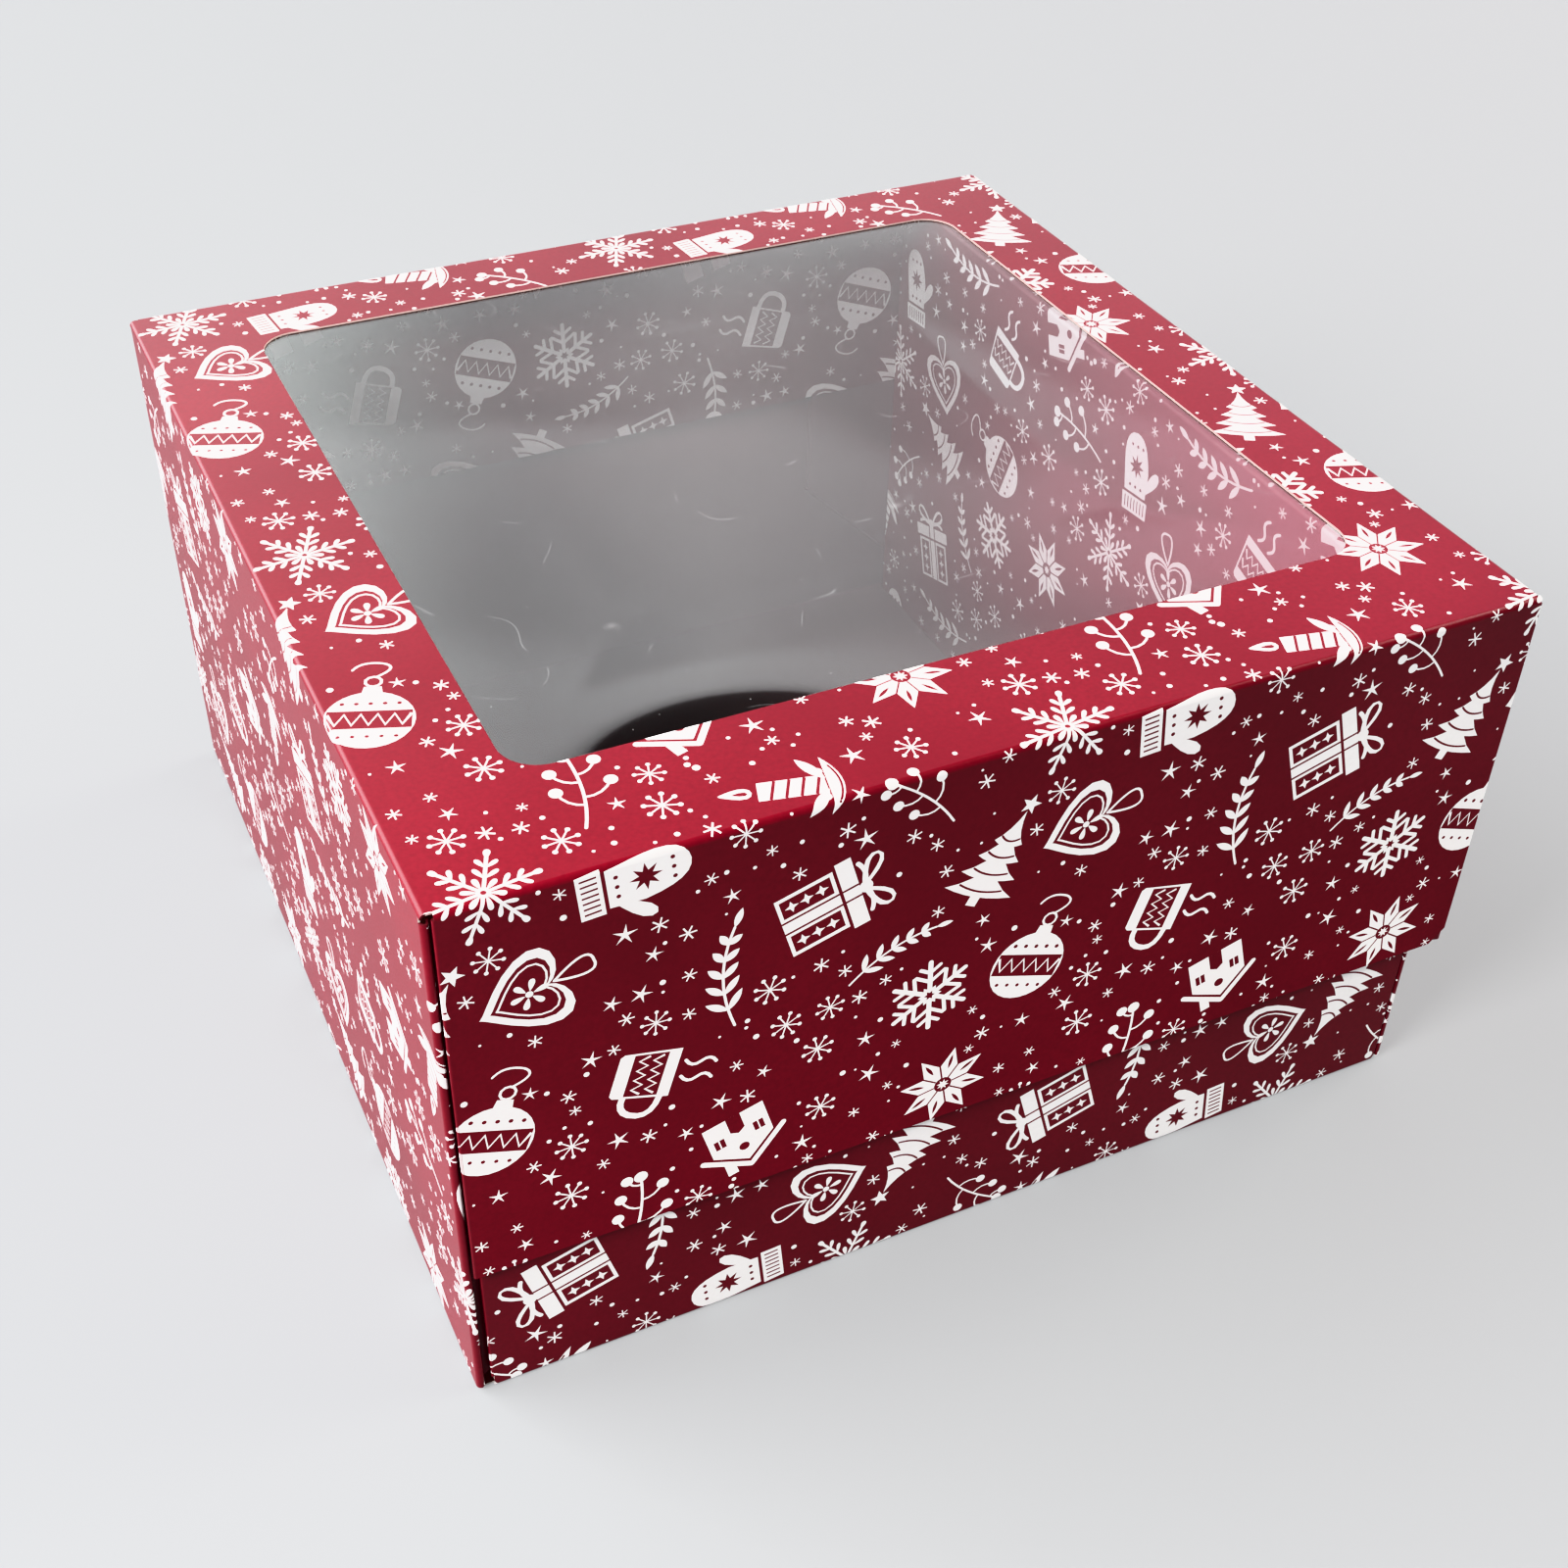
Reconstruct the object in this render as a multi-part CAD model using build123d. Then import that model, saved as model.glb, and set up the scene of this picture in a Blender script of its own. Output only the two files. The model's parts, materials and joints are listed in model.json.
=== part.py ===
from build123d import *
from math import cos, radians, sin
import os

# A window box for sweets: one printed board sheet, creased and folded into a
# tray with a lid hinged along one top edge, and a clear film glued under the
# lid's window. Sizes in millimetres. X runs from the hinge side to the opening
# side, Y across, Z up; the origin is the middle of the underside.

# The whole box
box_length = 254.0          # hinge wall to opening flap, outside
box_width = 254.0           # over the lid's side flaps
box_height = 141.7
board = 0.45                # thickness of the folding board
crease_radius = 1.2         # outside of a board folded square
layer_gap = 0.1             # air between layers folded flat on each other
slide_gap = 0.3             # between the lid's innermost layer and the tray
rim_gap = 0.35              # between the window film and the tray's rim
overrun = 5.0               # by which a cutting solid passes what it cuts

# Lid
flap_height = 101.7         # lid flaps, from the top face down
flap_end_cut = 4.0          # corner cut off a side flap beside the opening
flap_end_setback = 0.4      # side flap's raw edge, behind the opening flap's face
flap_fold_setback = 1.9     # side flap's folded edge, in front of the hinge wall
flap_hem_width = 16.0       # tab turned in behind a side flap's hinge end
flap_hem_taper = 5.0
ear_width = 22.0            # glued ear behind a side flap's opening end
ear_taper = 6.0
window_hinge_margin = 28.0
window_opening_margin = 24.3
window_left_margin = 32.5
window_right_margin = 23.5
window_radius = 9.0
film = 0.2
film_lap = 8.0              # film glued beyond the window's edge

# Tray
opening_overhang = 8.5      # lid's opening flap beyond the tray's front wall
side_hem_depth = 61.0       # side wall's lining, from the rim down
side_hem_cut = 8.0
hollow_wall = 17.5          # front wall's outer face to its inner face
hollow_end_gap = 0.3        # hollow wall's lining to the side linings
foot_length = 12.0          # lining's glued foot, inside the hollow wall
foot_cut = 5.0
web_width = 45.0            # corner web's leaves, along the side wall
web_play = 1.2              # extra air between a web's two leaves, as they spring apart
web_dive_angle = 75.0       # by which the near leaf turns in past the square corner
rear_fold_setback = 3.4     # side wall's folded edge, in front of the hinge wall
front_fold_setback = 1.9    # side wall's folded edge, behind the front wall
wall_corner_radius = 2.5    # side wall's lower corners, seen square on

# Layers at the tray's sides: wall, two web leaves, lining
web_layers = 2
lining_layers = 4

fold_mid = crease_radius - board / 2
flat_fold_mid = (board + layer_gap) / 2
flat_fold_radius = flat_fold_mid + board / 2
lining_fold_mid = ((lining_layers - 1) * (board + layer_gap) + web_play) / 2
lining_fold_radius = lining_fold_mid + board / 2

hinge_x = -box_length / 2
opening_x = box_length / 2
front_x = opening_x - opening_overhang
lid_y = box_width / 2
flap_hem_inner_y = lid_y - 2 * flat_fold_radius
tray_y = flap_hem_inner_y - slide_gap
web_drop = web_layers * (board + layer_gap) + web_play
leaf_y = tray_y - web_drop
lining_inner_y = tray_y - 2 * lining_fold_radius
hollow_y = lining_inner_y - hollow_end_gap
rim_z = box_height - board - film - rim_gap
flap_z = box_height - flap_height
wall_top_z = rim_z - lining_fold_radius
web_top_z = wall_top_z - layer_gap


class FoldedSheet:
    """The middle line of a board, followed panel by panel over its creases."""

    def __init__(self, start, heading):
        self.place = Vector(*start)
        self.heading = Vector(*heading)

    def panel(self, turn, fold_radius, flat):
        """Section of the next panel: a crease, then a flat run of board."""
        crease = JernArc(self.place, self.heading, fold_radius, turn)
        self.place = crease @ 1
        self.heading = crease % 1
        line = crease
        if flat > 0:
            run = Line(self.place, self.place + self.heading * flat)
            self.place = run @ 1
            line = Curve() + [crease, run]
        return trace(line, line_width=board)


def across(section, half_width):
    """A section drawn in X and Z, run out to both sides in Y."""
    return extrude(Plane.XZ * section, half_width, both=True)


def along(section, x_from, x_to):
    """A section drawn in Y and Z, run along X."""
    return extrude(Plane.YZ.offset(x_from) * section, x_to - x_from)


def upright(section, z_from, z_to):
    """A section drawn in X and Y, run up Z."""
    return extrude(Plane.XY.offset(z_from) * section, z_to - z_from)


def elevation(*points):
    """A cutting prism from an outline in X and Z, through the whole left half."""
    outline = make_face(Polyline(*points, close=True))
    return extrude(Plane.XZ * outline, lid_y + overrun)


def lid_top_panel():
    """The lid's top with its window, between the creases."""
    length = opening_x - hinge_x - 2 * crease_radius
    width = 2 * (lid_y - crease_radius)
    sheet = Rectangle(length, width)
    window_centre, window_length, window_width = window_place()
    window = window_centre * RectangleRounded(window_length, window_width, window_radius)
    return upright(sheet - window, box_height - board, box_height)


def window_place():
    """Centre and sizes of the window in the lid's top."""
    length = box_length - window_hinge_margin - window_opening_margin
    width = box_width - window_left_margin - window_right_margin
    centre = Pos(
        (window_hinge_margin - window_opening_margin) / 2,
        (window_left_margin - window_right_margin) / 2,
    )
    return centre, length, width


def window_film():
    """Clear film glued under the lid's top, past the window all round."""
    centre, length, width = window_place()
    patch = centre * Rectangle(length + 2 * film_lap, width + 2 * film_lap)
    return upright(patch, box_height - board - film, box_height - board)


def lid_front_flap():
    """The flap that hangs over the opening side, with its top crease."""
    sheet = FoldedSheet((opening_x - crease_radius, box_height - board / 2), (1, 0))
    section = sheet.panel(-90, fold_mid, flap_height - crease_radius)
    return across(section, lid_y - board - crease_radius)


def lid_left_flap():
    """A side flap with its top crease and the corner cut off its free end."""
    fold_x = hinge_x + flap_fold_setback + flat_fold_radius
    end_x = opening_x - flap_end_setback
    crease_end_x = opening_x - crease_radius
    crease_z = box_height - crease_radius
    sheet = FoldedSheet((-(lid_y - crease_radius), box_height - board / 2), (-1, 0))
    section = sheet.panel(90, fold_mid, flap_height - crease_radius)
    outline = elevation(
        (fold_x, box_height + overrun),
        (crease_end_x, box_height + overrun),
        (crease_end_x, crease_z),
        (end_x, crease_z),
        (end_x, flap_z + flap_end_cut),
        (end_x - flap_end_cut, flap_z),
        (fold_x, flap_z),
    )
    return along(section, fold_x, end_x) & outline


def lid_left_hem():
    """The tab turned flat behind the side flap's hinge end."""
    fold_x = hinge_x + flap_fold_setback + flat_fold_radius
    top_z = box_height - crease_radius
    sheet = FoldedSheet((fold_x, -(lid_y - board / 2)), (-1, 0))
    section = sheet.panel(-180, flat_fold_mid, flap_hem_width)
    outline = elevation(
        (fold_x - overrun, top_z),
        (fold_x, top_z),
        (fold_x + flap_hem_width, top_z - flap_hem_taper),
        (fold_x + flap_hem_width, flap_z + flap_hem_taper),
        (fold_x, flap_z),
        (fold_x - overrun, flap_z),
    )
    return upright(section, flap_z, top_z) & outline


def lid_left_ear():
    """The opening flap's ear, turned round the corner and glued in the side flap."""
    crease_x = opening_x - crease_radius
    end_x = crease_x - ear_width
    top_z = box_height - crease_radius
    sheet = FoldedSheet(
        (opening_x - board / 2, -(lid_y - board - crease_radius)), (0, -1)
    )
    section = sheet.panel(-90, fold_mid, ear_width)
    outline = elevation(
        (opening_x + overrun, top_z),
        (crease_x, top_z),
        (end_x, top_z - ear_taper),
        (end_x, flap_z + ear_taper),
        (crease_x, flap_z),
        (opening_x + overrun, flap_z),
    )
    return upright(section, flap_z, top_z) & outline


def tray_floor():
    """The floor between its four creases."""
    rear = hinge_x + crease_radius
    front = front_x - crease_radius
    sheet = Pos((rear + front) / 2, 0) * Rectangle(front - rear, 2 * (tray_y - crease_radius))
    return upright(sheet, 0, board)


def rear_panels():
    """The hinge wall and the crease that the lid turns on."""
    sheet = FoldedSheet((hinge_x + crease_radius, board / 2), (-1, 0))
    wall = sheet.panel(-90, fold_mid, box_height - 2 * crease_radius)
    crease = sheet.panel(-90, fold_mid, 0)
    return across(wall, tray_y - crease_radius), across(crease, tray_y)


def front_panels():
    """The hollow front wall: outer wall, ledge, lining and glued foot."""
    foot_mid_z = board + layer_gap + board / 2
    sheet = FoldedSheet((front_x - crease_radius, board / 2), (1, 0))
    wall = sheet.panel(90, fold_mid, rim_z - 2 * crease_radius)
    ledge = sheet.panel(90, fold_mid, hollow_wall - 2 * crease_radius)
    lining = sheet.panel(90, fold_mid, rim_z - crease_radius - foot_mid_z - fold_mid)
    foot = sheet.panel(90, fold_mid, foot_length)
    foot_x = front_x - hollow_wall + crease_radius
    foot_plan = make_face(
        Polyline(
            (foot_x - crease_radius, -hollow_y),
            (foot_x, -hollow_y),
            (foot_x + foot_length, foot_cut - hollow_y),
            (foot_x + foot_length, hollow_y - foot_cut),
            (foot_x, hollow_y),
            (foot_x - crease_radius, hollow_y),
            close=True,
        )
    )
    foot_cutter = upright(foot_plan, 0, foot_mid_z + crease_radius)
    return (
        across(wall, tray_y - crease_radius),
        across(ledge, hollow_y),
        across(lining, hollow_y),
        across(foot, hollow_y) & foot_cutter,
    )


def side_panels():
    """The left wall, rounded at its lower corners, and the lining from its rim."""
    rear = hinge_x + rear_fold_setback + flat_fold_radius
    front = front_x - front_fold_setback - flat_fold_radius
    sheet = FoldedSheet((-(tray_y - crease_radius), board / 2), (-1, 0))
    wall = sheet.panel(-90, fold_mid, wall_top_z - crease_radius)
    lining = sheet.panel(-180, lining_fold_mid, side_hem_depth - lining_fold_radius)
    wall_face = Pos((rear + front) / 2, wall_top_z / 2) * Rectangle(front - rear, wall_top_z)
    wall_face = fillet(wall_face.vertices().group_by(Axis.Y)[0], wall_corner_radius)
    wall_outline = extrude(Plane.XZ * wall_face, lid_y + overrun)
    hem_z = rim_z - side_hem_depth
    lining_outline = elevation(
        (rear, rim_z + overrun),
        (front, rim_z + overrun),
        (front, hem_z + side_hem_cut),
        (front - side_hem_cut, hem_z),
        (rear + side_hem_cut, hem_z),
        (rear, hem_z + side_hem_cut),
    )
    return (
        along(wall, rear, front) & wall_outline,
        along(lining, rear, front) & lining_outline,
    )


def corner_web(wall_x, setback, inward):
    """The web between an end wall and the left wall, folded flat behind the latter.

    The near leaf turns the corner from the end wall and dives in behind the
    left wall's edge, the far leaf turns back from that edge, and a slanting
    fold joins them. inward is 1 at the hinge end and -1 at the front end.
    """
    dive_turn = radians(web_dive_angle)
    dive_flat = (web_drop - 2 * flat_fold_mid * (1 - cos(dive_turn))) / sin(dive_turn)
    dive_run = 2 * flat_fold_mid * sin(dive_turn) + dive_flat * cos(dive_turn)
    ridge_fold_mid = web_drop / 2 - flat_fold_mid
    crease_x = wall_x + inward * crease_radius
    turn_x = wall_x + inward * (setback + flat_fold_radius)
    end_x = crease_x + inward * web_width
    beyond_x = wall_x - inward * overrun
    low_z = crease_radius
    high_z = crease_radius + web_width
    near = FoldedSheet((wall_x + inward * board / 2, crease_radius - tray_y), (0, -1))
    near_section = (
        near.panel(90 * inward, fold_mid, 0)
        + near.panel(web_dive_angle * inward, flat_fold_mid, dive_flat)
        + near.panel(-web_dive_angle * inward, flat_fold_mid, web_width - dive_run)
    )
    far = FoldedSheet((turn_x, board / 2 - tray_y), (-inward, 0))
    far_section = far.panel(-180 * inward, flat_fold_mid, abs(end_x - turn_x))
    near_outline = elevation(
        (beyond_x, low_z),
        (crease_x, low_z),
        (end_x, high_z),
        (end_x, web_top_z),
        (beyond_x, web_top_z),
    )
    far_outline = elevation(
        (crease_x, low_z),
        (end_x, high_z),
        (end_x, web_top_z),
        (crease_x, web_top_z),
    )
    slant_start = Vector(turn_x, board / 2 - leaf_y, low_z + abs(turn_x - crease_x))
    slant_end = Vector(end_x, board / 2 - leaf_y, high_z)
    slant = Plane(slant_start, x_dir=(inward, 0, -1), z_dir=slant_end - slant_start)
    ridge = FoldedSheet((0, 0), (1, 0)).panel(-180 * inward, ridge_fold_mid, 0)
    return (
        (upright(near_section, low_z, web_top_z) & near_outline)
        + (upright(far_section, low_z, web_top_z) & far_outline)
        + extrude(slant * ridge, (slant_end - slant_start).length)
    )


parts = {
    "lid_top_panel": lid_top_panel(),
    "window_film": window_film(),
    "lid_front_flap": lid_front_flap(),
    "tray_floor": tray_floor(),
}
parts["tray_rear_wall"], parts["hinge_crease"] = rear_panels()
(
    parts["tray_front_wall"],
    parts["tray_front_ledge"],
    parts["tray_front_lining"],
    parts["tray_front_foot"],
) = front_panels()

left_wall, left_lining = side_panels()
left_side = {
    "lid_{}_flap": lid_left_flap(),
    "lid_{}_hem": lid_left_hem(),
    "lid_{}_ear": lid_left_ear(),
    "tray_{}_wall": left_wall,
    "tray_{}_lining": left_lining,
    "tray_rear_{}_web": corner_web(hinge_x, rear_fold_setback, 1),
    "tray_front_{}_web": corner_web(front_x, front_fold_setback, -1),
}
for name, piece in left_side.items():
    parts[name.format("left")] = piece
    parts[name.format("right")] = mirror(piece, Plane.XZ)

os.makedirs("parts", exist_ok=True)
for name, piece in parts.items():
    export_step(piece, f"parts/{name}.step")
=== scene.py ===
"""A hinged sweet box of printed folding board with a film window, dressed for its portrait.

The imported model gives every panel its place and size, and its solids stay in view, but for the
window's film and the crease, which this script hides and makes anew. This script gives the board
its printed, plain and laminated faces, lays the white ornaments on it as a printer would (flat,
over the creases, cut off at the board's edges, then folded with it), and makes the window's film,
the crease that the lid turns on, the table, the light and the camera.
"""
from __future__ import annotations

import json
import logging
import math
import random
from dataclasses import dataclass, field, replace
from enum import Enum
from itertools import product
from typing import Callable

import bmesh
import bpy
from mathutils import Matrix, Vector

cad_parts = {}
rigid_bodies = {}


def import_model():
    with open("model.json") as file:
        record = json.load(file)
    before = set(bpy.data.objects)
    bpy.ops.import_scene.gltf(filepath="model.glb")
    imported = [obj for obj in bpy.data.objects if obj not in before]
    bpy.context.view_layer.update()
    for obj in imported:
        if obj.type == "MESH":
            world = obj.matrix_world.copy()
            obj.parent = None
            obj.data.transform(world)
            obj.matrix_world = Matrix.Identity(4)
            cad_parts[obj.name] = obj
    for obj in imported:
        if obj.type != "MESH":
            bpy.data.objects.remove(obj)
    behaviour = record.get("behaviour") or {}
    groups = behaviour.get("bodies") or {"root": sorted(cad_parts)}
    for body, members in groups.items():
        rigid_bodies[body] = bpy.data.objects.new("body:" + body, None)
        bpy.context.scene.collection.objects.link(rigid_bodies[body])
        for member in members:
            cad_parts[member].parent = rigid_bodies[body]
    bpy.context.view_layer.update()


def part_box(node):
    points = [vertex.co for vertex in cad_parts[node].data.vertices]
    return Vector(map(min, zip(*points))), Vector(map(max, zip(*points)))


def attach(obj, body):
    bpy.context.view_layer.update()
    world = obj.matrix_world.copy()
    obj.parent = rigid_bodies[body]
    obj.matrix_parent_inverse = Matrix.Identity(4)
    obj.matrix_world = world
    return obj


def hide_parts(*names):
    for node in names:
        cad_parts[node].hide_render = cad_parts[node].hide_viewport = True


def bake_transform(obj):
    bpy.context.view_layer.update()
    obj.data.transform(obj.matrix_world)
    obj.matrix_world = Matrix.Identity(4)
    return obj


LOG = logging.getLogger("sweet_box")
MM = 0.001
CUT_TOLERANCE = 1e-9
ORIGIN = Vector((0, 0))
X, Y, Z = Vector((1, 0, 0)), Vector((0, 1, 0)), Vector((0, 0, 1))
EAST, NORTH = Vector((1, 0)), Vector((0, 1))

Tree = bpy.types.NodeTree
Node = bpy.types.Node
Socket = bpy.types.NodeSocket
BMesh = bmesh.types.BMesh
# A point, as a vector or as plain numbers
Point = Vector | tuple
# The directions that a panel's printed sides look in
Ways = tuple[Vector, ...]


# Shared helpers


def linear(colour: str) -> tuple[float, float, float, float]:
    """Turn an sRGB hex colour into linear light.

    Args:
        colour: six hex digits after a hash sign.

    Returns:
        Linear red, green and blue, and an alpha of one.
    """
    parts = [int(colour[i : i + 2], 16) / 255 for i in (1, 3, 5)]
    red, green, blue = (
        part / 12.92 if part <= 0.04045 else ((part + 0.055) / 1.055) ** 2.4 for part in parts
    )
    return red, green, blue, 1.0


def add_node(tree: Tree, kind: str, inputs: dict | None = None, **settings: object) -> Node:
    """Add a shader node with its settings, and fill or link its inputs.

    Args:
        tree: the node tree.
        kind: the node's type name, without the ShaderNode it begins with.
        inputs: by input name or number, a value, a socket to link from, or a node to link
            from by its first output in use.
        settings: the node's own properties.

    Returns:
        The new node.
    """
    node = tree.nodes.new(f"ShaderNode{kind}")
    for name, value in settings.items():
        setattr(node, name, value)
    for socket, value in (inputs or {}).items():
        if isinstance(value, Node):
            value = next(output for output in value.outputs if output.enabled)
        if isinstance(value, Socket):
            tree.links.new(value, node.inputs[socket])
        else:
            node.inputs[socket].default_value = value
    return node


def make_material(name: str, shader: Callable[[Tree], Node]) -> bpy.types.Material:
    """Make a node material.

    Args:
        name: the material's name.
        shader: adds the shader's nodes to the material's tree and returns the last.

    Returns:
        The material.
    """
    material = bpy.data.materials.new(name)
    material.use_nodes = True
    tree = material.node_tree
    tree.nodes.clear()
    add_node(tree, "OutputMaterial", {"Surface": shader(tree)})
    return material


def make_piece(name: str, mesh: BMesh, materials: list[bpy.types.Material]) -> bpy.types.Object:
    """Put a finished bmesh into the scene as an object at the origin.

    Args:
        name: the piece's name.
        mesh: the shape, in metres, which is freed.
        materials: its material slots in order.

    Returns:
        The new object.
    """
    data = bpy.data.meshes.new(name)
    mesh.to_mesh(data)
    mesh.free()
    for material in materials:
        data.materials.append(material)
    piece = bpy.data.objects.new(name, data)
    bpy.context.scene.collection.objects.link(piece)
    return piece


# Finishes


@dataclass(frozen=True)
class Curl:
    """How a flap curls, in its shading only: its normal leans in below its crease, and out towards its
    free lower edge.
    """

    top: float
    drop: float
    lean_at_crease: float = -0.1
    lean_at_edge: float = 0.27

    def lean_out(self, tree: Tree) -> Node:
        """Add the nodes that give the curled surface's normal.

        Args:
            tree: the material's node tree.

        Returns:
            The node that gives it.
        """
        place = add_node(tree, "TexCoord").outputs["Object"]
        height = add_node(tree, "SeparateXYZ", {0: place}).outputs["Z"]
        ends = {"From Min": self.top - self.drop, "From Max": self.top, "To Min": 1.0, "To Max": 0.0}
        down = add_node(tree, "MapRange", {"Value": height, **ends})
        gain = (self.lean_at_edge - self.lean_at_crease) / 2
        line = {0: down, 1: gain, 2: self.lean_at_crease}
        mean = add_node(tree, "Math", line, operation="MULTIPLY_ADD")
        out = add_node(tree, "Math", {0: down, 1: mean}, operation="MULTIPLY")
        return add_node(tree, "Bump", {"Strength": 1.0, "Distance": self.drop, "Height": out})


@dataclass(frozen=True)
class Laminate:
    """Matt polypropylene film over the board, drawn over the print by rollers.

    It gives the colours a soft, broad sheen that grows at a glancing view, with the faint
    orange peel of the board's fibres under it.
    """

    roughness: float = 0.33
    roughness_play: float = 0.05
    ior: float = 1.37
    peel_size: float = 0.55 * MM
    peel_depth: float = 0.005 * MM
    warp_size: float = 90.0 * MM
    warp_depth: float = 0.25 * MM

    def cover(self, tree: Tree, colour: Node, curl: Curl | None) -> Node:
        """Lay the film over a colour.

        Args:
            tree: the material's node tree.
            colour: the node that gives the print's colour.
            curl: how the board under it curls, if it does.

        Returns:
            The shader node.
        """
        place = add_node(tree, "TexCoord").outputs["Object"]
        peel, warp = (
            add_node(tree, "TexNoise", {"Vector": place, "Scale": 1 / size, "Detail": detail})
            for size, detail in ((self.peel_size, 2.0), (self.warp_size, 1.0))
        )
        bend = {"Normal": curl.lean_out(tree)} if curl else {}
        swell = {"Strength": 1.0, "Distance": self.warp_depth, "Height": warp}
        soft = add_node(tree, "Bump", swell | bend)
        grain = {"Strength": 1.0, "Distance": self.peel_depth, "Height": peel, "Normal": soft}
        fine = add_node(tree, "Bump", grain)
        low, high = self.roughness - self.roughness_play, self.roughness + self.roughness_play
        rough = add_node(tree, "MapRange", {"Value": peel, "To Min": low, "To Max": high})
        look = {"Base Color": colour, "Roughness": rough, "IOR": self.ior, "Normal": fine}
        return add_node(tree, "BsdfPrincipled", look)


@dataclass(frozen=True)
class Ink:
    """Offset ink on white clay-coated board: even, with the mottle of the paper under it."""

    colour: str
    shade: str
    mottle_size: float = 1.1 * MM
    cloud_size: float = 45.0 * MM
    all_shade: float = 0.1
    all_colour: float = 0.42

    def tone(self, tree: Tree) -> Node:
        """Add the nodes that give the ink's colour.

        Args:
            tree: the material's node tree.

        Returns:
            The node that gives it.
        """
        place = add_node(tree, "TexCoord").outputs["Object"]
        mottle, cloud = (
            add_node(tree, "TexNoise", {"Vector": place, "Scale": 1 / size, "Detail": detail})
            for size, detail in ((self.mottle_size, 3.0), (self.cloud_size, 1.0))
        )
        both = add_node(tree, "Math", {0: mottle, 1: cloud}, operation="MULTIPLY")
        ends = {"From Min": self.all_shade, "From Max": self.all_colour}
        spread = add_node(tree, "MapRange", {"Value": both, **ends})
        tones = {"Factor": spread, "A": linear(self.shade), "B": linear(self.colour)}
        return add_node(tree, "Mix", tones, data_type="RGBA")


# A full coat of red: deep and slightly cool, so that the white stands out from it
FESTIVE_RED = Ink(colour="#6A1524", shade="#5F111F")
# Bare clay coat, left white: clean and even, as bright as paper gets
PAPER_WHITE = Ink(colour="#F6F5F5", shade="#EEECEC")
# The same film over all the print, which pales it towards a glancing view
LAMINATE = Laminate()


@dataclass(frozen=True)
class BareBoard:
    """Unprinted board: pulp fibre pressed flat, dull and faintly flecked."""

    colour: str
    fleck: str
    roughness: float = 0.85
    fibre_size: float = 0.7 * MM
    fibre_depth: float = 0.004 * MM
    fibre_strength: float = 0.3
    no_fleck: float = 0.55
    all_fleck: float = 0.8

    def shader(self, tree: Tree) -> Node:
        """Add the plain board's shader.

        Args:
            tree: the material's node tree.

        Returns:
            The shader node.
        """
        place = add_node(tree, "TexCoord").outputs["Object"]
        grain = {"Vector": place, "Scale": 1 / self.fibre_size, "Detail": 6.0}
        fibre = add_node(tree, "TexNoise", grain)
        ends = {"From Min": self.no_fleck, "From Max": self.all_fleck}
        flecks = add_node(tree, "MapRange", {"Value": fibre, **ends})
        tones = {"Factor": flecks, "A": linear(self.colour), "B": linear(self.fleck)}
        mix = add_node(tree, "Mix", tones, data_type="RGBA")
        relief = {"Strength": self.fibre_strength, "Distance": self.fibre_depth, "Height": fibre}
        bump = add_node(tree, "Bump", relief)
        look = {"Base Color": mix, "Roughness": self.roughness, "Normal": bump}
        return add_node(tree, "BsdfPrincipled", look)


# The sheet's back, which is the plain inside of the box: dull reddish brown, darker and redder than bare
# board as painted shade and a painted bounce of light from the red print
BOARD_BACK_IN_PAINTED_SHADE = BareBoard(colour="#6D4749", fleck="#664346")
# Cut pulp between the coats: a thin pale line
BOARD_EDGE = BareBoard(colour="#D2CCC5", fleck="#C4BDB5")
# Cut pulp made darker and redder than the bare edge, as painted shade: a softer line round the window
TINGED_EDGE_IN_PAINTED_SHADE = BareBoard(colour="#B8A19D", fleck="#AD9591")
# Cut pulp made dark: painted shade, so that a fold looks closed
DARK_EDGE_IN_PAINTED_SHADE = BareBoard(colour="#54101B", fleck="#480D17")


@dataclass(frozen=True)
class PrintedBoard:
    """Duplex box board: red and laminated on its printed face, bare at its cut edges.

    Where it looks one of its printed ways it is printed, where it looks the other way it
    shows its back, made darker and redder by painted shade and a painted red bounce of light,
    and what looks neither way is a cut edge.
    """

    printed_ways: Ways
    edge: BareBoard = BOARD_EDGE
    curl: Curl | None = None
    least_lean: float = 0.05

    def shader(self, tree: Tree) -> Node:
        """Add the board's shader.

        Args:
            tree: the material's node tree.

        Returns:
            The shader node.
        """
        red = LAMINATE.cover(tree, FESTIVE_RED.tone(tree), self.curl)
        # The back is darker and redder than bare board: painted shade and a painted red bounce of light
        edge, back = self.edge.shader(tree), BOARD_BACK_IN_PAINTED_SHADE.shader(tree)
        plain = add_node(tree, "MixShader", {0: self._looks(tree, -1), 1: edge, 2: back})
        return add_node(tree, "MixShader", {0: self._looks(tree, 1), 1: plain, 2: red})

    def _looks(self, tree: Tree, side: int) -> Node:
        """Tell where the board looks one of the printed ways, or away from one.

        Args:
            tree: the material's node tree.
            side: 1 for the printed ways, -1 for the ways opposite.

        Returns:
            A node that gives one there and zero elsewhere.
        """
        normal = add_node(tree, "TexCoord").outputs["Normal"]
        found = None
        for way in self.printed_ways:
            lean = add_node(tree, "VectorMath", {0: normal, 1: way * side}, operation="DOT_PRODUCT")
            looks = add_node(tree, "Math", {0: lean, 1: self.least_lean}, operation="GREATER_THAN")
            if found:
                looks = add_node(tree, "Math", {0: found, 1: looks}, operation="MAXIMUM")
            found = looks
        return found


@dataclass(frozen=True)
class InkLayer:
    """A printed shape under the laminate, in one ink."""

    ink: Ink
    curl: Curl | None = None

    def shader(self, tree: Tree) -> Node:
        """Add the ink's shader."""
        return LAMINATE.cover(tree, self.ink.tone(tree), self.curl)


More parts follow.
